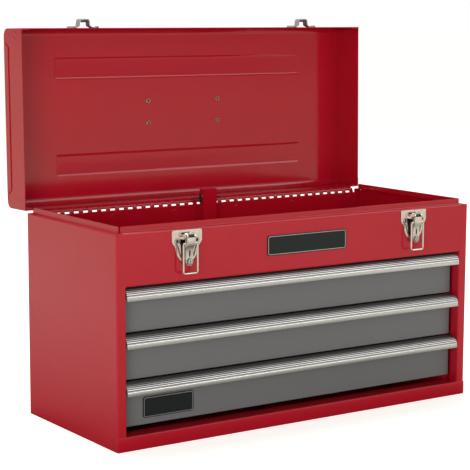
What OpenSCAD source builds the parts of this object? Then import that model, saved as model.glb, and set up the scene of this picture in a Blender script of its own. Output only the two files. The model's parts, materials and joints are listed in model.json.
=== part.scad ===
// Portable tool chest: folded sheet-steel body with three drawers on ball
// slides, and a lift-up lid on a full-length knuckle hinge.
// X runs across the front, the front faces -Y, Z is up. The origin is the
// centre of the footprint, on the surface the chest stands on. Millimetres.
// The lid is drawn at rest at its stop, past upright; drawers are shut.

/* [Body] */
// Width over the side walls
body_w = 510; // [420:1:640]
// Depth from the front panel to the back panel
body_d = 216; // [200:1:280]
// Height of the shoulder under the lid
body_h = 245; // [235:1:300]
// Thickness of the body and lid sheet
sheet_t = 1.0; // [0.8:0.1:1.2]
// Inside radius of the folds in the sheet
fold_r = 1.2; // [0.6:0.1:1.8]
// Width of each front jamb
jamb_w = 12; // [11:0.5:16]
// Depth of the returns folded back behind the front
jamb_return = 14; // [10:0.5:18]
// Height of the front sill
sill_h = 16.4; // [14:0.1:24]
// Height of the upper front panel
upper_h = 60; // [56:0.5:80]
// Depth of the return under the upper front panel
upper_return = 10; // [6:0.5:12]
// Distance from the outer face in to the upstanding rim
rim_inset = 7; // [5:0.5:10]
// Height of the rim above the shoulder
rim_h = 6.6; // [4:0.2:9]
// Gap that splits the rim at each front corner
rim_split = 0.9; // [0.5:0.1:3]
// Width of the flanges that carry the back panel
rear_flange = 12; // [11:0.5:16]
// Depth of the hinge notch below the shoulder
back_drop = 4.7; // [4.2:0.1:6]
// Height of the flanges round the base pan and the well floor
pan_flange = 10; // [6:0.5:12]
// Height of the well floor over the drawer opening
floor_rise = 2; // [1.5:0.1:4]

/* [Pressed beads] */
// Length of each stiffening bead in the lid and base
bead_l = 376; // [200:1:390]
// Width of each bead
bead_w = 29.5; // [18:0.5:32]
// Height of each bead
bead_h = 2; // [1:0.1:2.5]
// Radius of the bead's corners seen from above
bead_r = 3; // [2:0.5:5]
// Distance of the beads from the middle line
bead_y = 60; // [58:0.5:66]

/* [Lid] */
// Depth of the lid, from its open edge to its top
lid_h = 47; // [40:0.5:70]
// Gap between the shut lid and the shoulder
lid_gap = 1.2; // [0.8:0.1:2]
// Outside radius along the front and rear edges
lid_r = 9; // [5:0.5:14]
// Overhang of the lid beyond the front panel
lid_over = 1.5; // [0:0.1:2.5]
// Height of the lap edge of the end flanges
lap_h = 35; // [28:0.5:38]
// Clear length at each end of an end flange
lap_notch = 17; // [14:0.5:20]
// Depth of the flange inside each end cap
cap_flange = 12; // [8:0.5:16]
// Angle at which the lid rests open
lid_open = 91; // [88:0.5:96]

/* [Hinge] */
// Distance of the hinge pin behind the back panel
hinge_back = 3.0; // [2.8:0.1:3.4]
// Distance of the hinge pin below the shoulder
hinge_drop = 1.0; // [0.8:0.1:1.4]
// Diameter of the hinge knuckles
knuckle_d = 3.8; // [3.6:0.1:4.2]
// Length of one knuckle with its gap
knuckle_l = 6.35; // [5:0.05:10]
// Gap between neighbouring knuckles
knuckle_gap = 0.3; // [0.2:0.05:0.6]
// Diameter of the hinge pin
pin_d = 1.8; // [1.4:0.1:2]
// Radial clearance of the hinge pin
pin_fit = 0.05; // [0.02:0.01:0.1]
// Thickness of the hinge leaves
leaf_t = 0.8; // [0.6:0.1:0.9]
// Height of each hinge leaf
leaf_h = 14; // [10:0.5:20]
// Gap from the leaf fingers to the side flanges
hinge_end = 1.7; // [0.5:0.1:6]

/* [Drawers] */
// Gap between one drawer face and the next pull
drawer_gap = 1.7; // [1.5:0.1:3]
// Gap between the lowest face and the sill
sill_gap = 7.5; // [4:0.1:10]
// Gap between the top pull and the opening
top_gap = 1.2; // [0.8:0.1:2.5]
// Gap beside each drawer face
face_side_gap = 2; // [1:0.1:3]
// Thickness of the drawer sheet
drawer_t = 0.8; // [0.6:0.1:1]
// Depth of the returns behind the drawer face
face_return = 8; // [5:0.5:9]
// Height that the tray sides stop below the face top
box_drop = 10; // [9.6:0.1:14]
// Width of the rolled top edge of the tray sides
tray_hem = 4; // [2:0.5:7]
// Distance from the tray to the inside of the back panel
tray_back = 19; // [18.4:0.1:26]
// Radius of the pull's rounded nose
pull_r = 13.5; // [11:0.1:14.5]
// Wall of the pull
pull_t = 1.6; // [1.2:0.1:2]
// Height of the pull's front lip
lip_h = 5.2; // [4:0.1:7]
// Step of the lip before the nose
lip_step = 0.4; // [0.2:0.1:0.8]
// Number of fine grooves along the pull
groove_n = 6; // [3:1:9]
// Depth of the grooves
groove_d = 0.4; // [0.2:0.1:0.6]
// Gap at each end of a pull
pull_side_gap = 1; // [0.6:0.1:2]

/* [Ball slides] */
// Width of a slide from drawer to jamb line
slide_w = 13; // [12.6:0.1:14]
// Height of a slide
slide_h = 27; // [24:0.5:30]
// Thickness of the slide steel
slide_t = 1.0; // [0.8:0.1:1.1]
// Diameter of the balls
ball_d = 3.2; // [2.8:0.1:3.2]
// Clearance of a ball in its race
ball_play = 0.05; // [0.03:0.01:0.08]
// Distance that the drawer slides out
travel = 125; // [80:1:130]
// Number of balls in each row
ball_n = 4; // [2:1:5]
// Height of the lips that hold the balls
race_lip = 2.5; // [2:0.1:2.6]
// Width of each upright
upright_w = 20; // [14:0.5:26]

/* [Drawer lock] */
// Width of the channel in the well
channel_w = 20; // [18:0.5:26]
// Depth of the channel
channel_d = 12; // [11.5:0.1:14]
// Height of the channel above the shoulder
channel_up = 15; // [12:0.5:20]
// Width of the lock bar
bar_w = 10; // [7:0.5:12]
// Thickness of the lock bar and its hooks
bar_t = 2; // [1.5:0.1:2.4]
// Travel of the lock bar
lock_drop = 6; // [5:0.1:6.4]
// Height of a raised hook over the tray
hook_clear = 0.8; // [0.5:0.1:1]
// Distance between a hook and the tray's rear wall
hook_play = 2.6; // [1:0.1:3]
// Clearance beside the lock bar's hooks
bar_fit = 0.3; // [0.2:0.05:0.5]
// Outside diameter of the return spring
spring_d = 7.6; // [6:0.1:8]
// Thickness of the spring wire
wire_d = 0.9; // [0.7:0.1:1.1]
// Number of spring turns
spring_n = 5; // [4:1:7]

/* [Latches] */
// Distance of each latch from the middle
latch_x = 165; // [120:1:200]
// Width of a latch base plate
latch_w = 39.6; // [38:0.2:44]
// Height of a latch base plate
latch_h = 37.2; // [36:0.2:40]
// Gap between the plate's top and the shoulder
latch_down = 1.4; // [1:0.1:3]
// Thickness of the latch plates
latch_t = 1.2; // [1:0.1:1.4]
// Distance of the lever's pivot from the front panel
pivot_out = 6.3; // [6.2:0.1:7]
// Distance of the lever's pivot below the shoulder
pivot_down = 8.5; // [8:0.1:9]
// Outside radius of the lever's rolled top
roll_r = 4.6; // [4.2:0.1:4.7]
// Width of the lever
lever_w = 15.2; // [14:0.1:15.4]
// Length of the lever below its pivot
lever_l = 33; // [31:0.5:35]
// Diameter of the lever's pivot pin
lever_pin_d = 3; // [2.4:0.1:3]
// Clearance of the turning fits in the latch
latch_fit = 0.06; // [0.03:0.01:0.1]
// Distance of the bail's pivot from the front panel
bail_out = 8.6; // [8.4:0.1:9]
// Distance of the bail's pivot below the shoulder
bail_down = 16; // [15.5:0.1:16.5]
// Reach of the wire bail
bail_l = 34; // [33:0.1:38]
// Distance between the bail's legs
bail_w = 18.6; // [18.4:0.1:20]
// Diameter of the bail wire
bail_d = 2.2; // [1.8:0.1:2.2]
// Angle of the bail when it is latched
bail_swing = 184; // [182:0.5:185]
// Clearance under the latched bail
catch_gap = 0.3; // [0.3:0.05:0.8]
// Height of the catch bridge on the lid
catch_h = 9; // [7:0.1:10]
// Width of the catch bridge
catch_w = 15.5; // [14:0.1:16]
// Distance that the catch stands out
catch_out = 11; // [10:0.1:12]
// Width of the catch plate
catch_plate_w = 42; // [38:0.5:46]
// Height of the catch plate
catch_plate_h = 15; // [12:0.5:18]
// Diameter of the small rivets
rivet_d = 4; // [3:0.1:4.4]
// Diameter of the lock barrel
barrel_d = 8.4; // [7:0.1:9]

/* [Handle] */
// Distance of each saddle from the middle
saddle_x = 53; // [45:0.5:70]
// Distance between the rivets of a saddle
rivet_pitch = 28.5; // [24:0.5:34]
// Shift of the handle to the front
handle_shift = 2.5; // [0:0.1:2.5]
// Height of the handle's pivot over the lid
handle_up = 5.5; // [5.5:0.1:7]
// Diameter of the handle rod
rod_d = 6; // [5:0.1:6.4]
// Reach of the handle rod
handle_l = 34; // [30:0.5:34]
// Length of the grip
grip_l = 66; // [50:1:70]
// Width of the grip
grip_w = 20; // [14:0.5:20]
// Thickness of the grip
grip_t = 9; // [8:0.1:9]
// Running clearance of the rod in its saddles
rod_fit = 0.08; // [0.03:0.01:0.1]

/* [Plates] */
// Length of the plate on the upper panel
plate_w = 112.5; // [60:0.5:150]
// Height of the plate on the upper panel
plate_h = 23.7; // [16:0.1:30]
// Gap between that plate's top and the shoulder
plate_down = 17; // [12:0.5:24]
// Thickness of the plates
plate_t = 1.2; // [0.8:0.1:1.6]
// Length of the plate on the lowest drawer
tag_w = 67; // [40:0.5:90]
// Height of the plate on the lowest drawer
tag_h = 24; // [16:0.5:28]
// Distance of that plate from the face's end
tag_in = 26.5; // [12:0.5:60]

/* [Hidden] */
$fn = 48;
fold_steps = 5;
eps = 0.01;
seat_gap = 0.1;

hx = body_w / 2;
hy = body_d / 2;
open_x = hx - jamb_w;
open_top = body_h - upper_h;
rim_top = body_h + rim_h;
floor_z = open_top + floor_rise;
notch_x = hx - rear_flange;
notch_z = body_h - back_drop;
corner_r = fold_r + sheet_t;

// The drawers share the opening equally.
drawer_n = 3;
pitch = (open_top - sill_h - sill_gap) / drawer_n;
face_h = pitch - drawer_gap;
face_y = -hy + jamb_return;
face_x = open_x - face_side_gap;
function face_z(i) = open_top - top_gap - face_h - (i - 1) * pitch;
box_h = face_h - box_drop;
box_x = open_x - slide_w;
tray_y0 = face_y + drawer_t;
tray_y1 = hy - sheet_t - tray_back;
slide_y0 = face_y + face_return + 2;
slide_y1 = tray_y1 - 2;
slide_l = slide_y1 - slide_y0;
cage_l = slide_l - travel;
function slide_z(i) = face_z(i) + box_h / 2;

// Ball races, measured from the middle of the slide.
race_out = slide_h / 2 - slide_t;
ball_z = race_out - ball_play - ball_d / 2;
race_in = ball_z - ball_d / 2 - ball_play;
cage_t = 0.7;
slide_fold = 0.3;
lip_x = box_x + 3;
ball_x = lip_x + slide_t + 0.3 + cage_t / 2 + ball_d / 2 + 0.35;
arm_x = ball_x + ball_d / 2 + 0.3 + slide_t;
cage_x = arm_x + 1.4;
pocket_fit = 0.1;

// The lid, drawn shut and then turned about the hinge pin.
pin_y = hy + hinge_back;
pin_z = body_h - hinge_drop;
lid_z = body_h + lid_gap;
lid_top = lid_z + lid_h;
lid_front = -hy - lid_over;
knuckle_n = 2 * floor((notch_x - hinge_end) / knuckle_l);
hinge_x = knuckle_n * knuckle_l / 2;

// The drawer lock.
channel_top = body_h + channel_up;
channel_y = hy - sheet_t - channel_d;
bar_y = channel_y + sheet_t + 3;
bar_top = channel_top - sheet_t - 2;
bar_foot = 20;
hook_y = tray_y1 - drawer_t - hook_play - bar_t;
spring_y = channel_y + sheet_t + spring_d / 2 + 0.7;

// The latches; "out" is measured from the front panel.
pivot_z = body_h - pivot_down;
bail_z = body_h - bail_down;
bar_out = bail_out - bail_l * sin(bail_swing - 180);
bar_z = bail_z + bail_l * cos(bail_swing - 180);
catch_top = bar_z - bail_d / 2 - catch_gap;
catch_mid = catch_top - catch_h / 2;
plate_top = body_h - latch_down;
latch_rivet_x = 13;
latch_rivet_z = plate_top - 12.4;
catch_rivet_x = catch_plate_w / 2 - 6;
ear_x = lever_w / 2 - latch_t - 0.2;
ear_drop = 3.2;
handle_y = -handle_shift;
handle_z = lid_top + handle_up;

red = [0.72, 0.10, 0.11];
deep_red = [0.56, 0.07, 0.09];
grey = [0.40, 0.42, 0.44];
bright = [0.86, 0.87, 0.88];
steel = [0.66, 0.67, 0.69];
nickel = [0.78, 0.76, 0.72];
black = [0.08, 0.08, 0.09];

// ---------- Folded sheet ----------
// A folded sheet is a path of corners along one face. The sheet lies to the
// left of the path, and every fold has the same inside radius.
function unit(v) = v / norm(v);
function left_of(v) = [-v[1], v[0]];
function spun(v, a) = [v[0] * cos(a) - v[1] * sin(a), v[0] * sin(a) + v[1] * cos(a)];
function bend(a, b) = atan2(a[0] * b[1] - a[1] * b[0], a[0] * b[0] + a[1] * b[1]);
function backwards(v) = [for (k = [len(v) - 1 : -1 : 0]) v[k]];
function fold_pts(p, q, s, t, r, off) =
    let (
        a = unit(q - p),
        b = unit(s - q),
        w = bend(a, b),
        side = sign(w),
        rad = side > 0 ? r + t : r,
        start = q - a * rad * tan(abs(w) / 2),
        centre = start + left_of(a) * side * rad
    )
    [for (k = [0 : fold_steps]) centre + spun(start - centre, w * k / fold_steps) * (rad - side * off) / rad];
function sheet_pts(path, t, r) =
    let (
        n = len(path),
        a = unit(path[1] - path[0]),
        b = unit(path[n - 1] - path[n - 2])
    )
    concat(
        [path[0]],
        [for (i = [1 : n - 2]) each fold_pts(path[i - 1], path[i], path[i + 1], t, r, 0)],
        [path[n - 1], path[n - 1] + left_of(b) * t],
        [for (i = [n - 2 : -1 : 1]) each backwards(fold_pts(path[i - 1], path[i], path[i + 1], t, r, t))],
        [path[0] + left_of(a) * t]
    );
module sheet(path, t = sheet_t, r = fold_r) polygon(sheet_pts(path, t, r));

// A profile drawn as (Y, Z), extruded from x0 to x1.
module along_x(x0, x1) translate([x0, 0, 0]) rotate([90, 0, 90]) linear_extrude(x1 - x0) children();
// A profile drawn as (X, Z), extruded from y0 to y1.
module along_y(y0, y1) translate([0, y1, 0]) rotate([90, 0, 0]) linear_extrude(y1 - y0) children();
module along_z(z0, z1) translate([0, 0, z0]) linear_extrude(z1 - z0) children();
module both_sides() {
    children();
    mirror([1, 0, 0]) children();
}
module rounded_rect(w, h, r) {
    square([w - 2 * r, h], center = true);
    square([w, h - 2 * r], center = true);
    for (x = [-1, 1], y = [-1, 1])
        translate([x * (w / 2 - r), y * (h / 2 - r)]) circle(r);
}
module box(lo, hi) translate(lo) cube(hi - lo);

// A long pressed bead with sloping sides and rounded ends, along X.
module bead_slopes(size, h, sink) polygon([
    [-size / 2, -sink], [size / 2, -sink], [size / 2, 0],
    [size / 2 - 1.6 * h, h], [-size / 2 + 1.6 * h, h], [-size / 2, 0]
]);
module bead_form(l, w, h, sink) intersection() {
    along_x(-l / 2, l / 2) bead_slopes(w, h, sink);
    along_y(-w / 2, w / 2) bead_slopes(l, h, sink);
    along_z(-sink, h) rounded_rect(l, w, bead_r);
}

// ---------- Body ----------
module side_profile(with_return) {
    path = [
        [open_x, face_y], [open_x, -hy], [hx, -hy],
        [hx, hy - sheet_t], [notch_x, hy - sheet_t]
    ];
    sheet([for (k = [with_return ? 0 : 1 : 4]) path[k]]);
}
// Outline of the shell seen from above, with its folded corners.
function outline_fold(a, b, c) = fold_pts(a, b, c, sheet_t, fold_r, 0);
module footprint() {
    a = [-hx, -hy];
    b = [hx, -hy];
    c = [hx, hy - sheet_t];
    d = [-hx, hy - sheet_t];
    polygon(concat(outline_fold(d, a, b), outline_fold(a, b, c), outline_fold(b, c, d), outline_fold(c, d, a)));
}
// The shoulder is folded in level, and up again into the rim where it has one.
module side_shoulder(with_rim) {
    low = [[hx, body_h - 2 * corner_r], [hx, body_h]];
    level = [hx - rim_inset - sheet_t, body_h];
    rim = [[hx - rim_inset, body_h], [hx - rim_inset, rim_top]];
    sheet(with_rim ? concat(low, rim) : concat(low, [level]));
}
module front_shoulder(with_rim) {
    low = [[-hy, body_h], [-hy, body_h - 2 * corner_r]];
    level = [-hy + rim_inset + sheet_t, body_h];
    rim = [[-hy + rim_inset, rim_top], [-hy + rim_inset, body_h]];
    sheet(with_rim ? concat(rim, low) : concat([level], low));
}
rim_x = hx - rim_inset - sheet_t - rim_split;
rim_y0 = -hy + rim_inset + sheet_t + rim_split;
rim_y1 = hy - sheet_t - rim_split - 2;
module body_shell() color(red) difference() {
    intersection() {
        along_z(0, rim_top) footprint();
        union() {
            both_sides() {
                along_z(sill_h, open_top) side_profile(true);
                along_z(0, sill_h) side_profile(false);
                along_z(open_top, body_h - corner_r) side_profile(false);
                along_y(rim_y0, rim_y1) side_shoulder(true);
                along_y(-hy, rim_y0) side_shoulder(false);
                along_y(rim_y1, hy - sheet_t) side_shoulder(false);
                along_x(rim_x, hx - corner_r) front_shoulder(false);
                box(
                    [notch_x, hy - 2 * sheet_t, body_h - 2 * corner_r],
                    [hx - corner_r, hy - sheet_t, body_h]
                );
            }
            along_x(-rim_x, rim_x) front_shoulder(true);
            along_x(-open_x - sheet_t, open_x + sheet_t)
                sheet([[slide_y0 - 2, sill_h], [-hy, sill_h], [-hy, 0]]);
            along_x(-open_x - sheet_t, open_x + sheet_t)
                sheet([[-hy, body_h - 2 * corner_r], [-hy, open_top], [-hy + upper_return, open_top]]);
        }
    }
    for (s = [-1, 1], k = [-1, 1])
        translate([s * latch_x + k * latch_rivet_x, -hy - 1, latch_rivet_z])
            rotate([-90, 0, 0]) cylinder(d = rivet_d, h = sheet_t + 2);
}
module back_panel() color(red) along_y(hy - sheet_t, hy) difference() {
    translate([-hx + corner_r, 0]) square([body_w - 2 * corner_r, body_h]);
    translate([-notch_x, notch_z]) square([2 * notch_x, back_drop + 1]);
}
module pan(z, y0, y1) difference() {
    wall_x = hx - sheet_t - seat_gap;
    union() {
        along_x(-wall_x, wall_x)
            sheet([[y0, z + pan_flange], [y0, z], [y1, z], [y1, z + pan_flange]]);
        along_y(y0, y1)
            sheet([[-wall_x, z + pan_flange], [-wall_x, z], [wall_x, z], [wall_x, z + pan_flange]]);
    }
    for (x = [-wall_x, wall_x], y = [y0, y1])
        translate([x, y, z - 1]) rotate([0, 0, 45])
            translate([-0.8 * fold_r, -0.8 * fold_r, 0]) cube([1.6 * fold_r, 1.6 * fold_r, pan_flange + 2]);
}
pan_y0 = -hy + sheet_t + seat_gap;
pan_y1 = hy - 2 * sheet_t - seat_gap;
module base_pan() color(deep_red) difference() {
    union() {
        pan(0, pan_y0, pan_y1);
        for (s = [-1, 1]) translate([0, s * bead_y, sheet_t]) bead_form(bead_l, bead_w, bead_h, sheet_t);
    }
    for (s = [-1, 1])
        translate([0, s * bead_y, 0]) bead_form(bead_l - 2 * sheet_t, bead_w - 2 * sheet_t, bead_h, 1);
}
module well_floor() color(deep_red) difference() {
    pan(floor_z, pan_y0, pan_y1);
    box(
        [-channel_w / 2 - rear_tab - seat_gap, channel_y - seat_gap, floor_z - 1],
        [channel_w / 2 + rear_tab + seat_gap, hy, floor_z + pan_flange + 1]
    );
}
module upright(y) {
    wall_x = hx - sheet_t;
    along_z(pan_flange + 2, floor_z - seat_gap)
        sheet([[wall_x, y + upright_w], [open_x, y + upright_w], [open_x, y], [wall_x, y]]);
}
upright_y1 = slide_y0;
upright_y2 = slide_y1 - upright_w;
module upright_front_right() color(deep_red) upright(upright_y1);
module upright_front_left() color(deep_red) mirror([1, 0, 0]) upright(upright_y1);
module upright_rear_right() color(deep_red) upright(upright_y2);
module upright_rear_left() color(deep_red) mirror([1, 0, 0]) upright(upright_y2);

// ---------- Hinge ----------
module fingers(up, first) {
    for (k = [first : 2 : knuckle_n - 1])
        along_x(
            -hinge_x + k * knuckle_l + knuckle_gap / 2,
            -hinge_x + (k + 1) * knuckle_l - knuckle_gap / 2
        ) finger_outline(up);
}
// One finger: the leaf leaves the wall, leans out and rolls round the pin.
module finger_outline(up) {
    root = 2 * knuckle_d;
    lean = hinge_back - 0.6;
    difference() {
        translate([pin_y, pin_z]) mirror([0, up > 0 ? 0 : 1]) union() {
            circle(d = knuckle_d);
            polygon([
                [-hinge_back, root], [-hinge_back, lean], [-knuckle_d / 2 + 0.4, 0],
                [-pin_d / 2, 0.6], [-hinge_back + leaf_t, lean + 0.7], [-hinge_back + leaf_t, root]
            ]);
        }
        translate([pin_y, pin_z]) circle(d = pin_d + 2 * pin_fit);
    }
}
module hinge_leaf_body() color(deep_red) {
    fingers(-1, 1);
    box([-hinge_x, hy, notch_z - leaf_h], [hinge_x, hy + leaf_t, notch_z]);
}
module hinge_pin() color(steel) translate([-hinge_x, pin_y, pin_z]) rotate([0, 90, 0]) cylinder(d = pin_d, h = 2 * hinge_x);

// ---------- Ball slides ----------
module cabinet_slide(i) along_y(slide_y0, slide_y1) translate([0, slide_z(i)])
    sheet([
        [lip_x, -slide_h / 2 + race_lip], [lip_x, -slide_h / 2], [open_x, -slide_h / 2],
        [open_x, slide_h / 2], [lip_x, slide_h / 2], [lip_x, slide_h / 2 - race_lip]
    ], slide_t, slide_fold);
module cabinet_slides(i) color(steel) both_sides() cabinet_slide(i);
module cabinet_slides_1() cabinet_slides(1);
module cabinet_slides_2() cabinet_slides(2);
module cabinet_slides_3() cabinet_slides(3);
module drawer_slides(i) color(steel) both_sides() along_y(slide_y0, slide_y1) translate([0, slide_z(i)]) {
    arm = race_in - slide_t;
    tip = race_in + 0.9;
    sheet([
        [arm_x, -tip], [arm_x, -arm], [box_x + slide_t, -arm],
        [box_x + slide_t, arm], [arm_x, arm], [arm_x, tip]
    ], slide_t, slide_fold);
}
module drawer_slides_1() drawer_slides(1);
module drawer_slides_2() drawer_slides(2);
module drawer_slides_3() drawer_slides(3);
module ball_cages(i) {
    mid_y = (slide_y0 + slide_y1) / 2;
    step = cage_l / ball_n;
    edge_x = ball_x - ball_d / 2 - 0.7;
    both_sides() translate([0, 0, slide_z(i)]) {
        color(nickel) difference() {
            along_y(mid_y - cage_l / 2, mid_y + cage_l / 2)
                sheet([
                    [edge_x, -ball_z - cage_t / 2], [cage_x, -ball_z - cage_t / 2],
                    [cage_x, ball_z + cage_t / 2], [edge_x, ball_z + cage_t / 2]
                ], cage_t, slide_fold);
            for (k = [1 : ball_n], s = [-1, 1])
                translate([ball_x, mid_y - cage_l / 2 + (k - 0.5) * step, s * ball_z])
                    cylinder(r = ball_d / 2 + pocket_fit, h = 2, center = true);
        }
        color(bright) for (k = [1 : ball_n], s = [-1, 1])
            translate([ball_x, mid_y - cage_l / 2 + (k - 0.5) * step, s * ball_z]) sphere(d = ball_d);
    }
}
module ball_cages_1() ball_cages(1);
module ball_cages_2() ball_cages(2);
module ball_cages_3() ball_cages(3);

// ---------- Drawers ----------
module drawer_tray(i) color(grey) {
    z0 = face_z(i) + drawer_t;
    z1 = face_z(i) + box_h;
    along_y(tray_y0 + 0.75 * drawer_t, tray_y1 - 0.75 * drawer_t)
        sheet([
            [-box_x + tray_hem, z1], [-box_x, z1], [-box_x, z0],
            [box_x, z0], [box_x, z1], [box_x - tray_hem, z1]
        ], drawer_t, 0.6);
    along_x(-box_x, box_x)
        sheet([[tray_y0, z1], [tray_y0, z0], [tray_y1, z0], [tray_y1, z1]], drawer_t, 0.6);
}
module drawer_tray_1() drawer_tray(1);
module drawer_tray_2() drawer_tray(2);
module drawer_tray_3() drawer_tray(3);
module drawer_face(i) color(grey) {
    z0 = face_z(i);
    along_z(z0, z0 + face_h - 2 * pull_t)
        sheet([
            [-face_x, face_y + face_return], [-face_x, face_y],
            [face_x, face_y], [face_x, face_y + face_return]
        ], drawer_t, 0.6);
    along_x(-face_x + 1, face_x - 1)
        sheet([[face_y, z0 + 4], [face_y, z0], [face_y + face_return, z0]], drawer_t, 0.4);
}
module drawer_face_1() drawer_face(1);
module drawer_face_2() drawer_face(2);
module drawer_face_3() drawer_face(3);

// The pull is one extrusion: a grooved nose, a front lip and a back plate.
nose_a0 = 92;
nose_a1 = 162;
function nose(r, a) = [face_y - pull_t + r * cos(a), -pull_r + r * sin(a)];
function nose_r(u) = (u * groove_n - floor(u * groove_n)) > 0.62 ? pull_r - groove_d : pull_r;
module pull_section() {
    steps = 8 * groove_n;
    lip_y = nose(pull_r, nose_a1)[0] - lip_step;
    lip_z = nose(pull_r, nose_a1)[1];
    polygon(concat(
        [[face_y, 0], [face_y - pull_t, 0]],
        [for (k = [0 : steps]) nose(nose_r((k + 0.1) / steps), nose_a0 + (nose_a1 - nose_a0) * k / steps)],
        [
            [lip_y, lip_z], [lip_y, lip_z - lip_h], [lip_y + 0.6, lip_z - lip_h - 0.9],
            [lip_y + pull_t, lip_z - lip_h - 0.9], [lip_y + pull_t + 0.2, lip_z - lip_h]
        ],
        [for (k = [0 : 10]) nose(pull_r - pull_t, nose_a1 - (nose_a1 - nose_a0) * k / 10)],
        [[face_y - pull_t, -pull_t - 0.2], [face_y - pull_t, -pull_r], [face_y, -pull_r]]
    ));
}
module drawer_pull(i) color(bright)
    along_x(-open_x + pull_side_gap, open_x - pull_side_gap)
        translate([0, face_z(i) + face_h]) pull_section();
module drawer_pull_1() drawer_pull(1);
module drawer_pull_2() drawer_pull(2);
module drawer_pull_3() drawer_pull(3);

// ---------- Plates ----------
module bare_plate(w, h) {
    r = 3.5;
    rotate([90, 0, 0]) {
        linear_extrude(plate_t - 0.4) rounded_rect(w, h, r);
        linear_extrude(plate_t) difference() {
            rounded_rect(w, h, r);
            rounded_rect(w - 2.4, h - 2.4, r - 1.2);
        }
    }
}
module front_plate() color(black)
    translate([0, -hy, body_h - plate_down - plate_h / 2]) bare_plate(plate_w, plate_h);
module drawer_tag() color(black)
    translate([-face_x + tag_in + tag_w / 2, face_y, face_z(3) + (face_h - pull_r) / 2]) bare_plate(tag_w, tag_h);

// ---------- Drawer lock ----------
rear_tab = 6;
function hook_z(i) = face_z(i) + box_h + hook_clear;
hook_l = lock_drop + 0.5 - hook_clear;
module lock_channel() color(deep_red) difference() {
    union() {
        along_z(pan_flange + 2, notch_z - 0.3)
            sheet([
                [channel_w / 2 + rear_tab, hy - sheet_t], [channel_w / 2 - sheet_t, hy - sheet_t],
                [channel_w / 2 - sheet_t, channel_y + sheet_t], [-channel_w / 2 + sheet_t, channel_y + sheet_t],
                [-channel_w / 2 + sheet_t, hy - sheet_t], [-channel_w / 2 - rear_tab, hy - sheet_t]
            ], sheet_t, 0.6);
        along_z(notch_z - 0.4, channel_top)
            sheet([
                [channel_w / 2 - sheet_t, hy - 2 * sheet_t], [channel_w / 2 - sheet_t, channel_y + sheet_t],
                [-channel_w / 2 + sheet_t, channel_y + sheet_t], [-channel_w / 2 + sheet_t, hy - 2 * sheet_t]
            ], sheet_t, 0.6);
        along_z(channel_top - sheet_t, channel_top)
            translate([-channel_w / 2 + 1, channel_y + 1]) square([channel_w - 2, channel_d - 3]);
    }
    // Slots for the hooks, and the window in the channel's left side.
    for (i = [1 : drawer_n])
        box(
            [-bar_w / 2 - bar_fit, channel_y - 1, hook_z(i) - lock_drop - 0.6],
            [bar_w / 2 + bar_fit, channel_y + sheet_t + 1, hook_z(i) + hook_l + bar_t + 0.6]
        );
    box(
        [-channel_w / 2 - 1, channel_y + 3, channel_top - 14],
        [-channel_w / 2 + sheet_t + 1, channel_y + 9, channel_top - 5]
    );
}
module lock_bar() color(steel) {
    box([-bar_w / 2, bar_y, bar_foot], [bar_w / 2, bar_y + bar_t, bar_top]);
    // The nose that the lid's rear wall presses.
    along_x(-bar_w / 2, bar_w / 2)
        polygon([
            [bar_y + bar_t - eps, bar_top - 9], [hy - sheet_t - 0.6, bar_top - 4],
            [hy - sheet_t - 0.6, bar_top - 1.5], [bar_y + bar_t - eps, bar_top]
        ]);
    for (i = [1 : drawer_n]) {
        box(
            [-bar_w / 2, hook_y, hook_z(i) + hook_l],
            [bar_w / 2, bar_y + eps, hook_z(i) + hook_l + bar_t]
        );
        box([-bar_w / 2, hook_y, hook_z(i)], [bar_w / 2, hook_y + bar_t, hook_z(i) + hook_l + bar_t]);
    }
    along_z(bar_foot, bar_foot + bar_t) translate([0, spring_y]) square([bar_w, spring_d], center = true);
}
// The return spring stands between the base pan and the lock bar's foot.
function ring_pt(k, j, steps) =
    let (
        a = 360 * spring_n * k / steps,
        lift = bar_foot - sheet_t - wire_d,
        z = sheet_t + wire_d / 2 + lift * k / steps,
        r = (spring_d - wire_d) / 2 + wire_d / 2 * cos(360 * j / 8)
    )
    [r * cos(a), spring_y + r * sin(a), z + wire_d / 2 * sin(360 * j / 8)];
module lock_spring() color(bright) {
    steps = 14 * spring_n;
    pts = [for (k = [0 : steps], j = [0 : 7]) ring_pt(k, j, steps)];
    sides = [
        for (k = [0 : steps - 1], j = [0 : 7])
            [8 * k + j, 8 * k + 8 + j, 8 * k + 8 + (j + 1) % 8, 8 * k + (j + 1) % 8]
    ];
    ends = [[for (j = [0 : 7]) j], [for (j = [7 : -1 : 0]) 8 * steps + j]];
    polyhedron(pts, concat(sides, ends));
}

// ---------- Latches ----------
// A latch is drawn about X = 0 and moved to its place by at_latch().
module at_latch(s) translate([s * latch_x, 0, 0]) children();
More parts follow.
